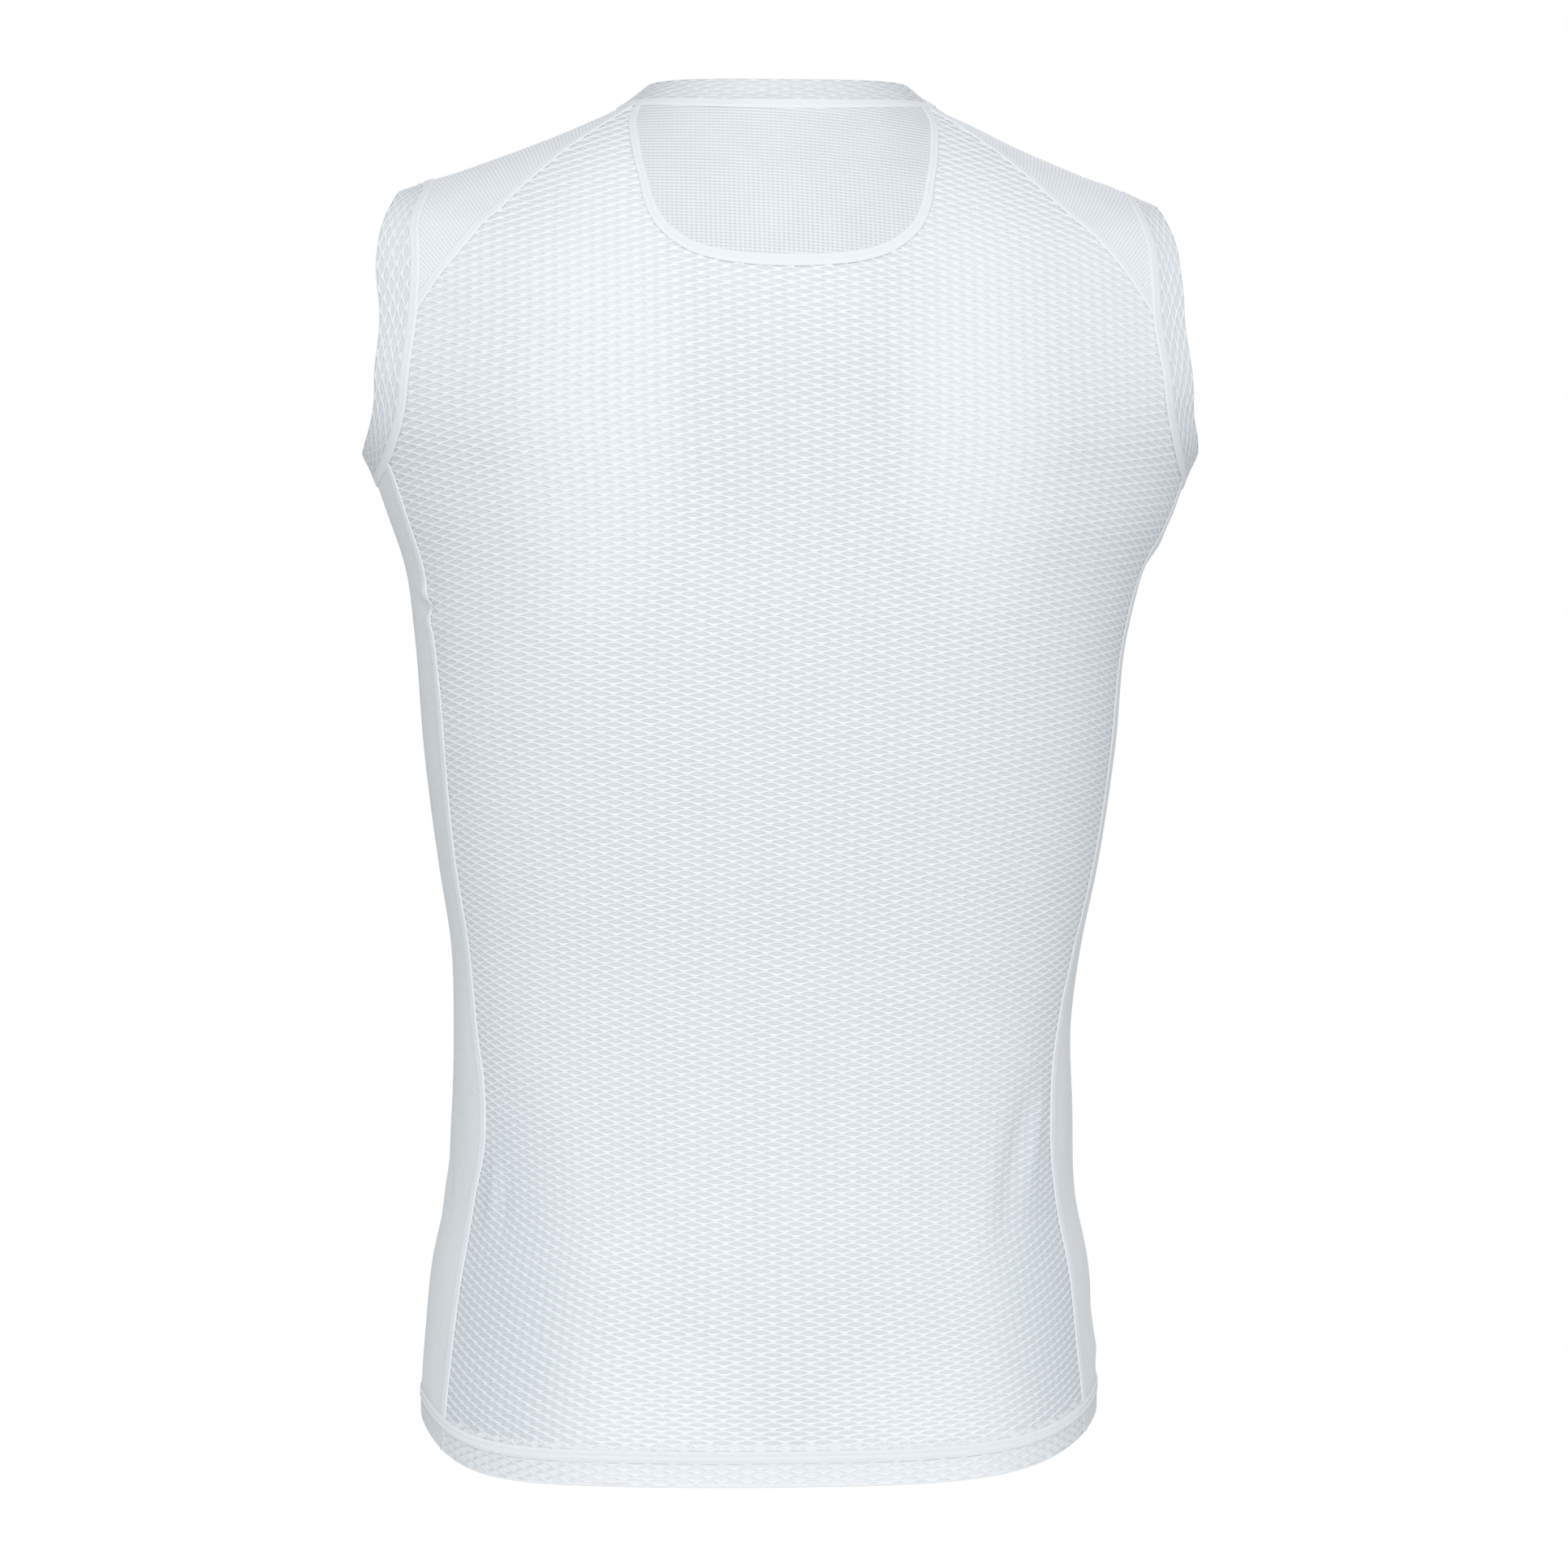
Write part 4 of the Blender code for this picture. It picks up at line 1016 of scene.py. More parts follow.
def tape(seam, half, rise, flat):
    """Closed low profile swept along a seam. half is in metres per station."""
    profile = (FLAT_H if flat else TAPE_H * rise) * MM
    m = len(TAPE_W)
    rings = (seam.p[:, None] + seam.side[:, None] * (TAPE_W * half[:, None])[..., None]
             + seam.n[:, None] * profile[None, :, None])
    n = len(rings)
    a = (np.arange(n - 1)[:, None] * m + np.arange(m)[None]).ravel()
    b = (np.arange(n - 1)[:, None] * m + (np.arange(m) + 1)[None] % m).ravel()
    tris = np.concatenate([np.stack([a, b, b + m], 1), np.stack([a, b + m, a + m], 1)])
    path = np.concatenate([[0.0], np.cumsum(np.hypot(np.diff(TAPE_W * half.mean()), np.diff(profile)))])
    uv = np.stack([np.repeat(seam.x, m), np.tile(path, n)], 1) / MM
    return rings.reshape(-1, 3), tris[:, ::-1], uv


BEAD = np.array([(1, 0, 0), (0, 1, 0), (-1, 0, 0), (0, -1, 0), (0, 0, 1), (0, 0, -1)], float)
BEAD_TRIS = np.array([(0, 1, 4), (1, 2, 4), (2, 3, 4), (3, 0, 4), (1, 0, 5), (2, 1, 5), (3, 2, 5), (0, 3, 5)])


def beads(seam, half, share, pitch, size, height, slant=0.0):
    """A row of small stitches. size is half length, half width, half height."""
    count = max(4, int(seam.length / (pitch * MM)))
    x = (np.arange(count) + 0.5) * seam.length / count
    wide = np.interp(x, seam.x, half)
    p = seam.place(x, share * wide, np.full(count, height * MM))
    t, n = unit(seam.read(seam.t, x)), unit(seam.read(seam.n, x))
    s = np.cross(n, t)
    c, d = math.cos(slant), math.sin(slant)
    t, s = t * c + s * d, s * c - t * d
    axes = np.stack([t * size[0], s * size[1], n * size[2]], 1) * MM
    pts = p[:, None] + np.einsum("bk,nkc->nbc", BEAD, axes)
    tris = (np.arange(count) * 6)[:, None, None] + BEAD_TRIS[None]
    return pts.reshape(-1, 3), tris.reshape(-1, 3)


class Pile:
    """Meshes gathered to be made as one piece."""

    def __init__(self):
        self.points, self.tris, self.uv, self.count = [], [], [], 0

    def add(self, points, tris, uv=None):
        self.points.append(points)
        self.tris.append(tris + self.count)
        self.uv.append(points[:, :2] / MM if uv is None else uv)
        self.count += len(points)

    def make(self, name, materials):
        return make_piece(name, np.concatenate(self.points), np.concatenate(self.tris),
                          materials, None, np.concatenate(self.uv))


# ---------------------------------------------------------------- materials
class Graph:
    """Short names for the nodes that the cloth materials share."""

    def __init__(self, name):
        self.material = bpy.data.materials.new(name)
        self.material.use_nodes = True
        self.tree = self.material.node_tree
        self.tree.nodes.clear()

    def node(self, kind, **settings):
        n = self.tree.nodes.new(kind)
        for k, v in settings.items():
            setattr(n, k, v)
        return n

    def link(self, a, b):
        self.tree.links.new(a, b)

    def math(self, operation, a, b=None, clamp=False):
        n = self.node("ShaderNodeMath", operation=operation, use_clamp=clamp)
        for socket, value in zip(n.inputs, (a, b)):
            if value is None:
                continue
            if hasattr(value, "default_value"):
                self.link(value, socket)
            else:
                socket.default_value = value
        return n.outputs[0]

    def weave(self):
        """x and y in mm on the cloth."""
        uv = self.node("ShaderNodeUVMap", uv_map="Weave")
        split = self.node("ShaderNodeSeparateXYZ")
        self.link(uv.outputs[0], split.inputs[0])
        return uv.outputs[0], split.outputs[0], split.outputs[1]

    def noise(self, vector, scale, detail=2.0, stretch=None):
        if stretch:
            m = self.node("ShaderNodeMapping")
            m.inputs["Scale"].default_value = stretch
            self.link(vector, m.inputs["Vector"])
            vector = m.outputs[0]
        n = self.node("ShaderNodeTexNoise")
        n.inputs["Scale"].default_value = scale
        n.inputs["Detail"].default_value = detail
        self.link(vector, n.inputs["Vector"])
        return n.outputs[0]

    def wave(self, value, pitch, phase=0.0):
        """0 to 1, once per pitch."""
        t = self.math("MULTIPLY", value, 2 * math.pi / pitch)
        if phase:
            t = self.math("ADD", t, phase)
        s = self.math("SINE", t)
        return self.math("ADD", self.math("MULTIPLY", s, 0.5), 0.5)

    def blend(self, factor, a, b):
        n = self.node("ShaderNodeMix", data_type="RGBA")
        self.link(factor, n.inputs["Factor"])
        for socket, value in ((n.inputs["A"], a), (n.inputs["B"], b)):
            if isinstance(value, tuple):
                socket.default_value = (*value, 1.0)
            else:
                self.link(value, socket)
        return n.outputs["Result"]

    def spots(self, table):
        """Soft spots on the garment, 1 in the middle and 0 at the rim. Rows
        are x, z, half width and half height in mm, and strength."""
        place = self.node("ShaderNodeTexCoord").outputs["Object"]
        total = None
        for x, z, w, h, strength in table:
            m = self.node("ShaderNodeMapping")
            m.inputs["Scale"].default_value = (1000.0 / w, 0.0, 1000.0 / h)
            m.inputs["Location"].default_value = (-x / w, 0.0, -z / h)
            self.link(place, m.inputs["Vector"])
            ball = self.node("ShaderNodeTexGradient", gradient_type="SPHERICAL")
            self.link(m.outputs[0], ball.inputs[0])
            part = self.math("MULTIPLY", self.math("SMOOTH_MIN", ball.outputs[1], 0.6), strength / 0.6)
            total = part if total is None else self.math("MAXIMUM", total, part)
        return self.math("MULTIPLY", total, 1.0, clamp=True)

    def bump(self, height, strength, distance):
        n = self.node("ShaderNodeBump")
        n.inputs["Strength"].default_value = strength
        n.inputs["Distance"].default_value = distance
        self.link(height, n.inputs["Height"])
        return n.outputs[0]

    def finish(self, colour, normal, roughness, through, sheen=0.06):
        """Matt yarn, partly lit through from behind."""
        skin_shader = self.node("ShaderNodeBsdfPrincipled")
        skin_shader.inputs["Roughness"].default_value = roughness
        skin_shader.inputs["Specular IOR Level"].default_value = 0.25
        skin_shader.inputs["Sheen Weight"].default_value = sheen
        skin_shader.inputs["Sheen Roughness"].default_value = 0.5
        back = self.node("ShaderNodeBsdfTranslucent")
        mix = self.node("ShaderNodeMixShader")
        mix.inputs[0].default_value = through
        out = self.node("ShaderNodeOutputMaterial")
        for shader in (skin_shader.inputs["Base Color"], back.inputs["Color"]):
            self.link(colour, shader)
        for shader in (skin_shader.inputs["Normal"], back.inputs["Normal"]):
            self.link(normal, shader)
        self.link(skin_shader.outputs[0], mix.inputs[1])
        self.link(back.outputs[0], mix.inputs[2])
        self.link(mix.outputs[0], out.inputs["Surface"])
        return self.material


WHITE = (0.945, 0.961, 0.969)
SHADE = (0.903, 0.925, 0.938)


def strand_material(name, light, dark, through, loops=1.0, spots=(), lean=None, painted_shade=()):
    """Open knit's strands: tiny loops along the rows, uneven yarn. spots are
    pairs of a way and soft spots where the knit leans that way, and there the
    strands that cross it are painted darker, painted shade. In the shade spots
    the strands are painted darker too, painted shade."""
    g = Graph(name)
    uv, x, y = g.weave()
    yarn = g.noise(uv, 0.9, 2.0, (1.0, 2.2, 1.0))
    patch = g.noise(uv, 0.035, 3.0)
    f = g.math("ADD", g.math("MULTIPLY", yarn, 0.55), g.math("MULTIPLY", patch, 0.75))
    f = g.math("SUBTRACT", f, 0.25, clamp=True)
    colour = g.blend(f, light, dark)
    # painted shade: strands painted darker in the shade spots
    if painted_shade:
        colour = g.blend(g.spots(painted_shade[0]), colour, painted_shade[1])
    # painted shade: the strands that cross the lean are painted darker, in the lean colour
    for way, table in spots:
        rise = g.math("SUBTRACT", g.math("MULTIPLY", x, way / PITCH), g.math("MULTIPLY", y, 1 / REPEAT))
        lean_shade_mask = g.wave(rise, 1.0, math.pi / 2)
        lean_shade_mask = g.math("MULTIPLY", g.math("POWER", lean_shade_mask, 0.8), g.spots(table))
        colour = g.blend(lean_shade_mask, colour, lean)
    rows = g.wave(y, 0.52)
    cols = g.wave(x, 0.74)
    height = g.math("ADD", g.math("MULTIPLY", g.math("MULTIPLY", rows, cols), 0.6 * loops),
                    g.math("MULTIPLY", yarn, 0.6))
    normal = g.bump(height, 0.35, 0.00012)
    return g.finish(colour, normal, 0.72, through)


def floor_material(name, light, dark, through, spots=(), painted_light_colour=None, painted_shade=()):
    """Ground of the eyelets: thinner cloth behind, a little darker, the darkness painted shade for the depth seen
    through the eyelets.
    In the spots it is painted lighter, painted light where the knit rests on the body, and in the shade spots painted
    darker, painted shade."""
    g = Graph(name)
    uv, x, y = g.weave()
    patch = g.noise(uv, 0.06, 2.0)
    # the ground's colours, darker than the strands, are painted shade
    colour = g.blend(patch, light, dark)
    # painted shade: ground painted darker in the shade spots
    if painted_shade:
        colour = g.blend(g.spots(painted_shade[0]), colour, painted_shade[1])
    # painted light: ground painted lighter where the knit rests on the body
    if spots:
        colour = g.blend(g.spots(spots), colour, painted_light_colour)
    normal = g.bump(g.noise(uv, 1.3, 1.0), 0.25, 0.0001)
    return g.finish(colour, normal, 0.8, through)


def pore_material(name, light, dark, pitch_x, pitch_y, dots, through, dip_shade=0.6, spots=()):
    """Fine knit with level ridges and small pores between them. dots is how
    much of a row's dip goes into its pores, and more does in the spots. The dips
    are painted darker, painted shade in the pores and between the ridges."""
    g = Graph(name)
    uv, x, y = g.weave()
    row = g.wave(y, pitch_y)
    dot = g.wave(x, pitch_x)
    row2 = g.math("POWER", row, 1.8)
    pore = g.math("MULTIPLY", g.math("MULTIPLY", row2, g.math("POWER", dot, 1.6)), 1.5)
    part = g.math("ADD", dots, g.math("MULTIPLY", g.spots(spots), 0.75 - dots)) if spots else dots
    dip = g.math("ADD", g.math("MULTIPLY", row2, g.math("SUBTRACT", 1.0, part)),
                 g.math("MULTIPLY", pore, part))
    patch = g.noise(uv, 0.045, 3.0)
    # colour: the dips painted darker, painted shade in the pores and row dips, with the yarn's uneven tone
    f = g.math("ADD", g.math("MULTIPLY", dip, dip_shade),
               g.math("MULTIPLY", g.math("SUBTRACT", patch, 0.30), 0.22), clamp=True)
    colour = g.blend(f, light, dark)
    height = g.math("ADD", g.math("MULTIPLY", dip, -1.0),
                    g.math("MULTIPLY", g.noise(uv, 1.4, 2.0), 0.35))
    normal = g.bump(height, 0.5, 0.00028)
    return g.finish(colour, normal, 0.72, through)


def rib_material(name, light, dark, pitch, angle, through, dip_shade=0.55):
    """Fine ribs at an angle to the level, with a dotted thread between. The
    grooves and the thread's dips are painted darker, painted shade.
    """
    g = Graph(name)
    uv, x, y = g.weave()
    c, s = math.cos(angle), math.sin(angle)
    across = g.math("SUBTRACT", g.math("MULTIPLY", y, c), g.math("MULTIPLY", x, s))
    along = g.math("ADD", g.math("MULTIPLY", x, c), g.math("MULTIPLY", y, s))
    rib = g.wave(across, pitch)
    loop = g.wave(along, 1.1)
    dip = g.math("MULTIPLY", g.math("POWER", rib, 1.3), g.math("ADD", g.math("MULTIPLY", loop, 0.3), 0.7))
    patch = g.noise(uv, 0.03, 3.0, (1.0, 0.5, 1.0))
    # colour: grooves painted darker, painted shade, with the yarn's uneven tone
    f = g.math("ADD", g.math("MULTIPLY", dip, dip_shade),
               g.math("MULTIPLY", g.math("SUBTRACT", patch, 0.35), 0.5), clamp=True)
    colour = g.blend(f, light, dark)
    height = g.math("ADD", g.math("MULTIPLY", dip, -1.0),
                    g.math("MULTIPLY", g.noise(uv, 1.5, 2.0), 0.3))
    normal = g.bump(height, 0.5, 0.0003)
    return g.finish(colour, normal, 0.66, through)


def thread_material(name, light, dark):
    g = Graph(name)
    uv, x, y = g.weave()
    yarn = g.noise(uv, 1.1, 2.0)
    colour = g.blend(yarn, light, dark)
    fine = g.math("ADD", g.wave(g.math("ADD", x, y), 0.5), g.noise(uv, 2.2, 2.0))
    normal = g.bump(fine, 0.3, 0.0001)
    return g.finish(colour, normal, 0.7, 0.15)


# soft spots for the back's materials: x, z, half width, half height, strength. The first are painted light: the eyelet
# grounds are painted lighter where the knit rests on the body
PAINTED_LIGHT_SPOTS = (
    (93.0,  -128.0, 50.0, 135.0, 0.80),
    (-90.0, -132.0, 46.0, 115.0, 0.75),
    (150.0, -80.0, 70.0, 80.0, 0.30),
    (-150.0, -80.0, 70.0, 80.0, 0.30),
    (66.0,  -634.0, 62.0, 60.0, 0.30),
    (-64.0, -634.0, 62.0, 60.0, 0.30),
)
# painted shade: pairs of a way and soft spots where the strands crossing that way are painted darker
LEAN_SHADE_SPOTS = (
    (-1, ((110.0, -110.0, 120.0, 150.0, 0.40),
          (-140.0, -560.0, 56.0, 150.0, 0.85))),
    (1, ((140.0, -590.0, 60.0, 130.0, 0.90),
         (-120.0, -110.0, 100.0, 130.0, 0.32))),
)

# painted shade: soft spots where the back's strands and eyelet grounds are painted darker,
# strongly at the low sides and a little in the middle
PAINTED_SHADE_SPOTS = (
    (158.0,  -560.0, 64.0, 160.0, 0.72),
    (-160.0, -550.0, 66.0, 165.0, 0.75),
    (0.0,    -600.0, 130.0, 80.0, 0.22),
    (0.0,    -150.0, 70.0, 70.0, 0.15),
)

MATERIALS = {
    # back strands: the lean colour and the shade colour are painted shade
    "eyelet": strand_material("eyelet_knit", WHITE, SHADE, 0.18, 1.0, LEAN_SHADE_SPOTS, (0.700, 0.738, 0.763),
                              (PAINTED_SHADE_SPOTS, (0.815, 0.848, 0.875))),
    "front": strand_material("eyelet_knit_front", WHITE, SHADE, 0.18),
    # eyelet grounds, here and below: darker than their strands, painted shade; the back's ground is painted lighter in
    # the light spots and darker in the shade spots
    "floor": floor_material("eyelet_floor", (0.772, 0.805, 0.823), (0.732, 0.768, 0.789), 0.20,
                            PAINTED_LIGHT_SPOTS, (0.876, 0.898, 0.911), (PAINTED_SHADE_SPOTS, (0.625, 0.672, 0.705))),
    "front_floor": floor_material("eyelet_floor_front", (0.780, 0.812, 0.830), (0.742, 0.777, 0.798), 0.20),
    "hem_floor": floor_material("hem_eyelet_floor", (0.895, 0.913, 0.926), (0.868, 0.889, 0.905), 0.18),
    "band": strand_material("band_knit", (0.895, 0.915, 0.929), (0.858, 0.882, 0.899), 0.15),
    "band_floor": floor_material("band_eyelet_floor", (0.805, 0.834, 0.852), (0.768, 0.800, 0.822), 0.15),
    # the neck band's knit and ground: a darker copy of the band's, painted shade against the light the neck band
    # catches
    "neck": strand_material("neck_knit_painted_shade", (0.850, 0.871, 0.886), (0.815, 0.840, 0.858), 0.15),
    "neck_floor": floor_material("neck_eyelet_floor_painted_shade", (0.762, 0.791, 0.810), (0.727, 0.759, 0.781), 0.15),
    # pore knits: their dark colour is painted shade in the pores and row dips
    "pore": pore_material("pore_knit", (0.832, 0.853, 0.866), (0.565, 0.610, 0.640), 2.10, 1.72, 0.20, 0.18, 0.75,
                          ((0.0, -72.0, 130.0, 56.0, 1.0),)),
    "shoulder": pore_material("shoulder_knit", (0.915, 0.933, 0.942), (0.60, 0.645, 0.68), 1.9, 1.95, 0.12, 0.18, 0.45,
                              ((178.0, -66.0, 36.0, 40.0, 1.0), (-178.0, -70.0, 36.0, 40.0, 1.0))),
    # rib knits: their dark colour is painted shade in the grooves
    "rib_left": rib_material("rib_knit_left", (0.872, 0.894, 0.902), (0.690, 0.720, 0.734), 1.30, 10 * DEG, 0.16),
    "rib_right": rib_material("rib_knit_right", (0.872, 0.894, 0.902), (0.690, 0.720, 0.734), 1.30, 36 * DEG, 0.16),
    "lining": strand_material("lining_knit", WHITE, SHADE, 0.18, 0.6),
    "tape": thread_material("seam_tape", (0.936, 0.957, 0.975), (0.908, 0.934, 0.956)),
    "thread": thread_material("sewing_thread", (0.925, 0.947, 0.966), (0.885, 0.912, 0.935)),
}

# ---------------------------------------------------------------- the pieces
OUTLINES = outlines()
BACK = LaidFlat(0.0, 1.0)
FRONT = LaidFlat(math.pi, 0.0)
sheets = []      # (object, flat size, flat area)

M = MATERIALS
sheets += knit_panel("back_panel", BACK, OUTLINES["back_panel"],
                     [M["eyelet"], M["floor"], M["hem_floor"]], full_opening(BACK))
sheets += knit_panel("front_panel", FRONT, OUTLINES["front_panel"],
                     [M["front"], M["front_floor"], M["hem_floor"]], lambda m: np.ones(len(m)))


def arm_place(side):
    """Places on an arm band: share of the way round, and mm in from the seam."""
    theta = np.linspace(-math.pi, math.pi, 361)
    seam = arm_seam(side, theta)
    edge = arm_points(side, theta, ARM_BAND_WIDTH * MM)
    middle = (seam + edge) / 2
    p = surface(middle[:, 0], middle[:, 1])
    t = np.concatenate([[0.0], np.cumsum(np.linalg.norm(np.diff(p, axis=0), axis=1))])

    def place(share, across):
        share, across = np.broadcast_arrays(share, across)
        th = np.interp(share * t[-1], t, theta)
        a = np.stack([np.interp(th, theta, edge[:, k]) for k in (0, 1)], -1)
        b = arm_seam(side, th)
        return b + (a - b) * (across / (ARM_BAND_WIDTH * MM))[..., None]
    return place, float(t[-1]) / MM


def neck_place():
    u = np.linspace(-math.pi, math.pi, 721)
    p = surface(u, np.full(721, (V_NECK + V_TOP) / 2))
    t = np.concatenate([[0.0], np.cumsum(np.linalg.norm(np.diff(p, axis=0), axis=1))])
    low = surface(np.zeros(1), np.full(1, V_NECK))
    width = float(np.linalg.norm(surface(0.0, V_TOP) - surface(0.0, V_NECK)) / MM)
    scale = (V_TOP - V_NECK) / (width * MM)

    def place(share, across):
        share, across = np.broadcast_arrays(share, across)
        return np.stack([np.interp(share * t[-1], t, u), V_NECK + across * scale], -1)
    return place, float(t[-1]) / MM, width


BANDS = []
place, length, width = neck_place()
BANDS.append(("neck_band", AroundBand(place, length, width), 4, False))
for side, tag in SIDES:
    place, length = arm_place(side)
    BANDS.append(("arm_band_" + tag, AroundBand(place, length, ARM_BAND_WIDTH), 4, side < 0))

for name, band, repeats, flip in BANDS:
    knit = "neck" if name == "neck_band" else "band"
    mats = [M[knit], M[knit + "_floor"]]
    points, tris, which, uv = band_panel(name, band, repeats, mats, flip)
    outer = make_piece(name + "_outer", points, tris, mats, which, uv)
    dress(outer, name)
    points2, tris2, uv2 = rolled_edge(band, flip)
    inner = make_piece(name + "_inner", points2, tris2, [M["lining"]], None, uv2)
    dress(inner, name)
    sheets.append((outer, (band.length * MM, band.width * MM), area_of(points, tris)))
    sheets.append((inner, (band.length * MM, (band.width + 3) * MM), area_of(points2, tris2)))

# plain pieces
for name, slot_name, step, face in (("back_yoke", "pore", 4.0, 0.55),
                                    ("shoulder_panel_left", "pore", 4.0, 0.55),
                                    ("shoulder_panel_right", "pore", 4.0, 0.55),
                                    ("side_panel_left", "rib", 4.2, None),
                                    ("side_panel_right", "rib", 4.2, None)):
    uv, tris = plain_net(OUTLINES[name], step * MM)
    height = face_height(uv[:, 1]) if face is None else np.full(len(uv), face * MM)
    points = skin(uv[:, 0], uv[:, 1], height)
    if name == "back_yoke":
        flat_mm = BACK.to_flat(uv[:, 0], uv[:, 1])
        mat = M["pore"]
    else:
        flat_mm = uv * np.array([150.0, 1000.0])
        mat = M["shoulder"] if slot_name == "pore" else M["rib_" + name.split("_")[-1]]
        if name.endswith("right"):
            flat_mm = flat_mm * np.array([-1.0, 1.0])
    knit_mm = flat_mm
    if mat is M["shoulder"]:
        # its ribs run over the shoulder from front to back and lean inward:
        # w is how far round from the side line, in degrees
        w = 90.0 - np.abs(uv[:, 0]) / DEG
        knit_mm = np.stack([w * (1.75 + 0.02 * np.abs(w)),
                            uv[:, 1] / MM + 0.0155 * w ** 2 + 2.1e-6 * w ** 4], -1)
    ob = make_piece(name + "_cloth", points, tris[:, ::-1], [mat], None, knit_mm)
    dress(ob, name)
    size = (flat_mm.max(0) - flat_mm.min(0)) * MM
    if name != "back_yoke":
        # its real width: how far the surface runs for each radian round, on average
        ahead, behind = (surface(uv[:, 0] + d, uv[:, 1]) for d in (0.001, -0.001))
        size[0] = np.ptp(uv[:, 0]) * np.linalg.norm(ahead - behind, axis=1).mean() / 0.002
    sheets.append((ob, size, area_of(points, tris)))

# the hem's fold and inner ply, one for each panel
hem_ply = []
for name, mat, slot_name in (("back_panel", M["lining"], "eyelet"), ("front_panel", M["lining"], "eyelet"),
                             ("side_panel_left", M["rib_left"], "rib"),
                             ("side_panel_right", M["rib_right"], "rib")):
    if name == "back_panel":
        u0, u1 = LINES["side_back_right"][0, 0], LINES["side_back_left"][0, 0]
    elif name == "front_panel":
        u0, u1 = LINES["side_front_left"][0, 0], LINES["side_front_right"][0, 0] + 2 * math.pi
    else:
        tag = name.split("_")[-1]
        u0, u1 = sorted((LINES["side_back_" + tag][0, 0], LINES["side_front_" + tag][0, 0]))
    line = level_line(0.5 * V_FOLD, u0, u1)
    p = surface(line[:, 0], line[:, 1])
    t = np.concatenate([[0.0], np.cumsum(np.linalg.norm(np.diff(p, axis=0), axis=1))])
    deep = (V_FOLD + 2.2 * MM) / MM

    def place(share, across, t=t, line=line, deep=deep):
        share, across = np.broadcast_arrays(share, across)
        return np.stack([np.interp(share * t[-1], t, line[:, 0]), deep * MM - across], -1)

    band = AroundBand(place, float(t[-1]) / MM, deep)
    points, tris, uv = rolled_edge(band, True, 0.07 if "panel_" not in name else 0.0)
    ob = make_piece(name.replace("_panel", "") + "_hem", points, tris, [mat], None, uv)
    dress(ob, name)
    sheets.append((ob, (band.length * MM, (deep + 3) * MM), area_of(points, tris)))

# seam tapes and their threads
tapes, threads = Pile(), Pile()
for name, ends, middle, rows, rise, face in TAPES:
    seam = SeamLine(LINES[name], face * MM)
    along = seam.x / seam.length
    half = (ends + (middle - ends) * np.clip(1.0 - np.abs(2 * along - 1) * 1.6, 0, 1) ** 0.8) * MM
    points, tris, uv = tape(seam, half, rise, rows == "hem")
    tapes.add(points, tris, uv)
    if rows == "hem":
        for share in (-0.46, 0.46):
            threads.add(*beads(seam, half, share, 0.80, (1.12, 0.20, 0.17), 0.25, 1.22))
        continue
    for share, slant in ((-0.28, 1.0), (0.28, -1.0)):
        threads.add(*beads(seam, half, share, 1.05, (0.72, 0.19, 0.15), 0.37 * rise, slant))
    needle, deep = (0.80, 0.30) if rows == "band" else (0.74, 0.38)
    for share in (-needle, needle):
        threads.add(*beads(seam, half, share, 1.35, (0.44, 0.18, 0.15), deep * rise))
tape_ob = tapes.make("seam_tapes", [M["tape"]])
thread_ob = threads.make("seam_threads", [M["thread"]])
for ob in (tape_ob, thread_ob):
    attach(ob, "root")

for n, (ob, size, area) in enumerate(sheets):
    w, l = (float(max(x, 0.011)) for x in size)

# ---------------------------------------------------------------- floor and light
def make_floor():
    n, radius, z = 96, 0.58, -0.80
    angle = np.linspace(0, 2 * math.pi, n, endpoint=False)
    rings = [0.0, 0.35, 0.7, 1.0, 1.006]
    points = [(0.0, 0.0, z)]
    for k, r in enumerate(rings[1:]):
        drop = 0.006 if k == 3 else 0.0
        points += [(radius * r * math.cos(a), radius * r * math.sin(a), z - drop) for a in angle]
    faces = [(0, 1 + k, 1 + (k + 1) % n) for k in range(n)]
    for r in range(3):
        a, b = 1 + r * n, 1 + (r + 1) * n
        faces += [(a + k, b + k, b + (k + 1) % n, a + (k + 1) % n) for k in range(n)]
    mesh = bpy.data.meshes.new("floor")
    mesh.from_pydata(points, [], faces)
    mat = bpy.data.materials.new("floor_paint")
    mat.use_nodes = True
    shader = mat.node_tree.nodes["Principled BSDF"]
    shader.inputs["Base Color"].default_value = (0.78, 0.78, 0.78, 1.0)
    shader.inputs["Roughness"].default_value = 0.9
    shader.inputs["Emission Color"].default_value = (1.0, 1.0, 1.0, 1.0)
    shader.inputs["Emission Strength"].default_value = 0.06
    mesh.materials.append(mat)
    ob = bpy.data.objects.new("floor", mesh)
    bpy.context.scene.collection.objects.link(ob)


make_floor()

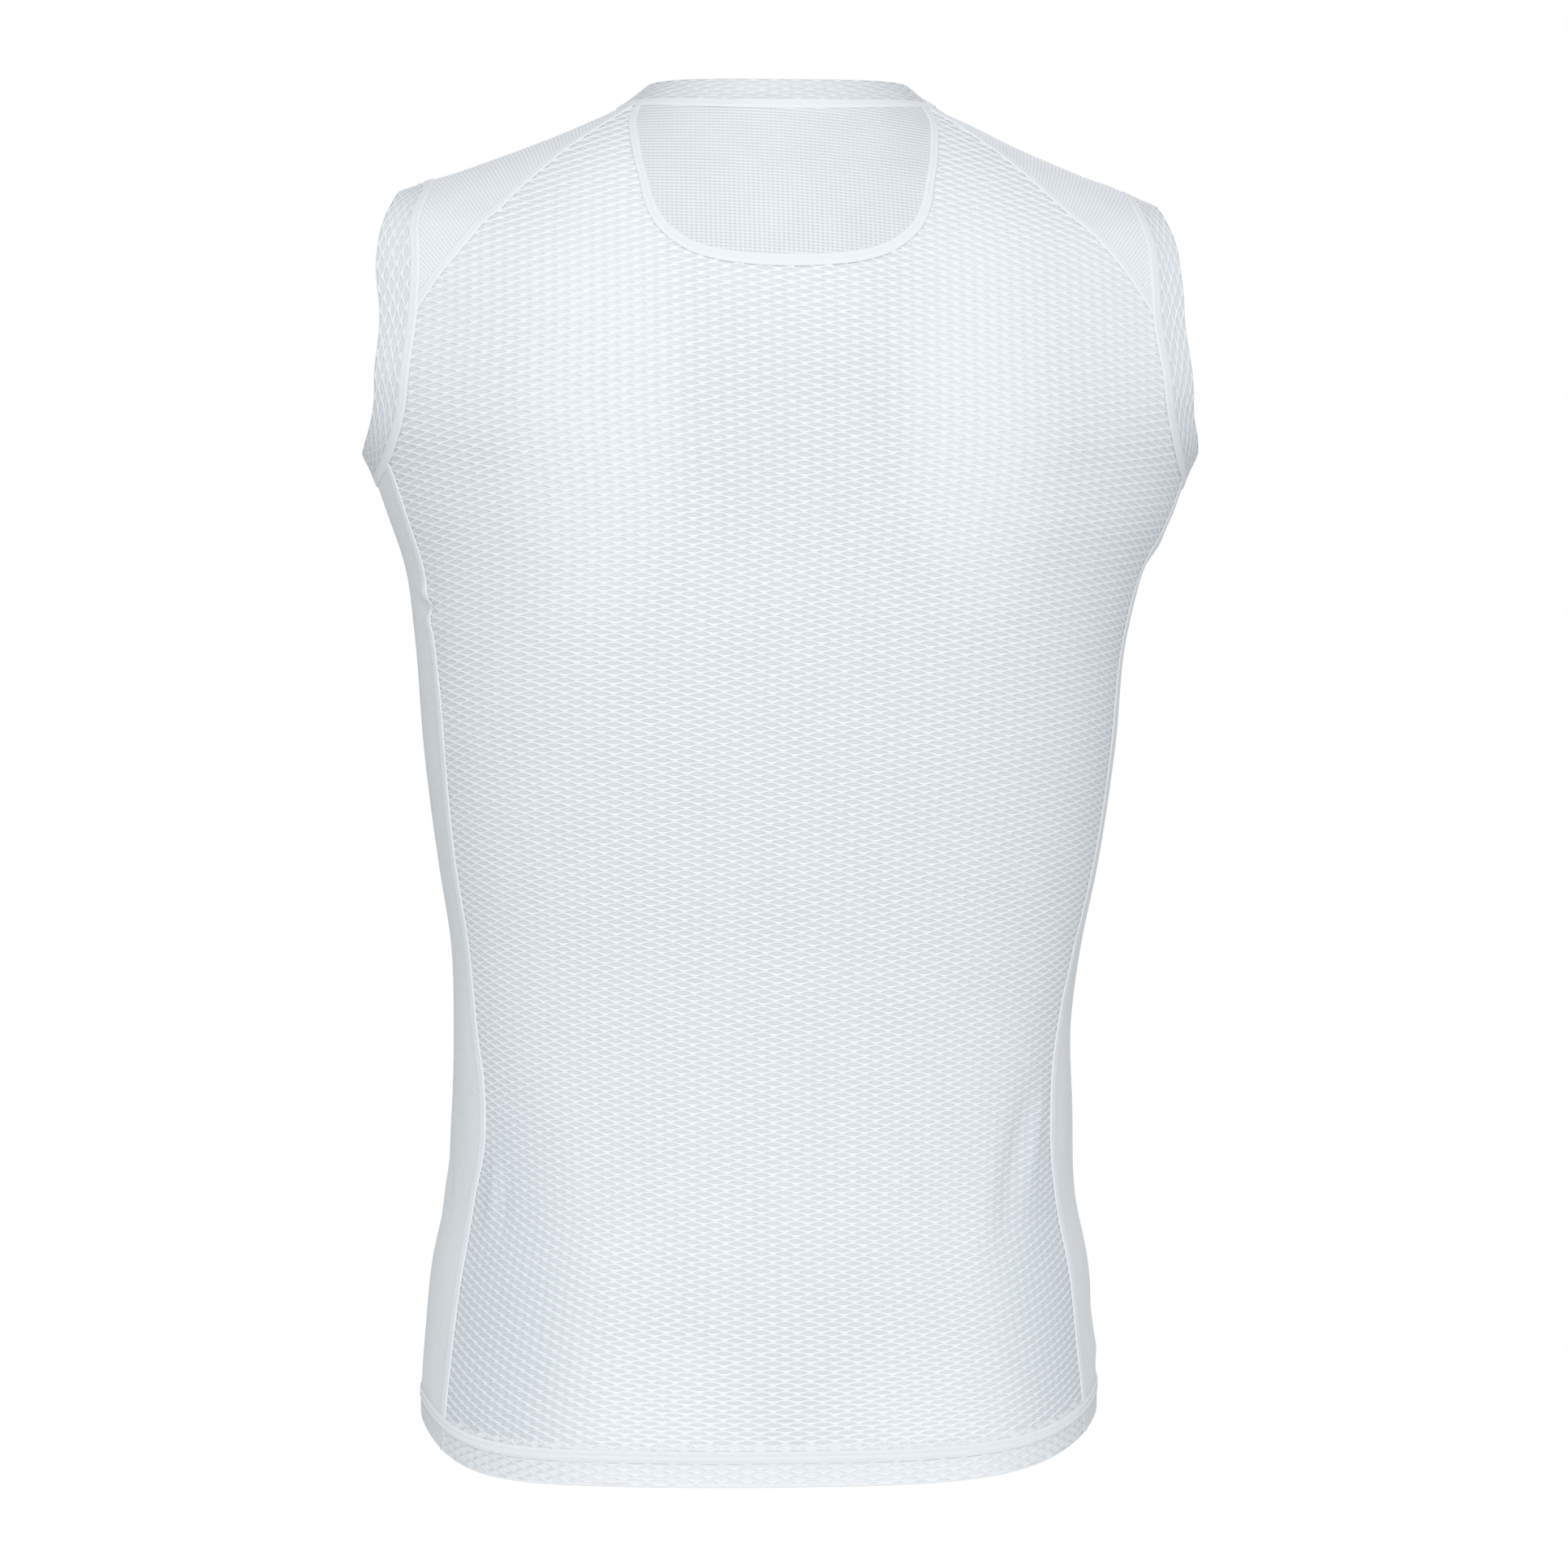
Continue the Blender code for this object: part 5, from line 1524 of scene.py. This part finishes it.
AMBIENT = 0.62
world = bpy.data.worlds.new("studio")
bpy.context.scene.world = world
world.use_nodes = True
tree = world.node_tree
tree.nodes.clear()
out = tree.nodes.new("ShaderNodeOutputWorld")
mix = tree.nodes.new("ShaderNodeMixShader")
path = tree.nodes.new("ShaderNodeLightPath")
light = tree.nodes.new("ShaderNodeBackground")
light.inputs[0].default_value = (0.965, 0.985, 1.015, 1.0)
light.inputs[1].default_value = AMBIENT
white = tree.nodes.new("ShaderNodeBackground")
white.inputs[0].default_value = (1.0, 1.0, 1.0, 1.0)
white.inputs[1].default_value = 1.0
tree.links.new(path.outputs["Is Camera Ray"], mix.inputs[0])
tree.links.new(light.outputs[0], mix.inputs[1])
tree.links.new(white.outputs[0], mix.inputs[2])
tree.links.new(mix.outputs[0], out.inputs[0])

LAMP_COLUMNS = ("name", "place", "aim", "size", "power", "colour")
LAMPS = (
    ("key",   (0.14, 2.72, 0.55),  (0.0, 0.0, -0.30), 2.0, 43.8, (1.0, 1.0, 1.0)),
    ("front", (-0.50, -2.70, 0.60), (0.0, 0.0, -0.30), 2.2, 40.0, (0.98, 0.99, 1.0)),
)
for name, place, aim, size, power, colour in LAMPS:
    data = bpy.data.lights.new(name, "AREA")
    data.shape = "DISK"
    data.size = size
    data.energy = power
    data.color = colour
    ob = bpy.data.objects.new(name, data)
    ob.location = place
    ob.rotation_euler = (Vector(aim) - Vector(place)).to_track_quat("-Z", "Y").to_euler()
    ob.visible_camera = False
    bpy.context.scene.collection.objects.link(ob)

# ---------------------------------------------------------------- camera
CAMERA_PLACE = (0.1465, 2.3955, -0.318)
camera = bpy.data.cameras.new("camera")
camera.sensor_width = 36.0
camera.lens = 36.0 * 2.4 / 0.7728
camera.shift_x = 8.0 / 1932.0
camera.clip_start = 0.05
eye = bpy.data.objects.new("camera", camera)
eye.location = CAMERA_PLACE
eye.rotation_euler = Vector((-CAMERA_PLACE[0], -CAMERA_PLACE[1], 0.0)).to_track_quat("-Z", "Y").to_euler()
bpy.context.scene.collection.objects.link(eye)
bpy.context.scene.camera = eye
bpy.context.scene.view_settings.view_transform = "Standard"
bpy.context.scene.view_settings.look = "None"
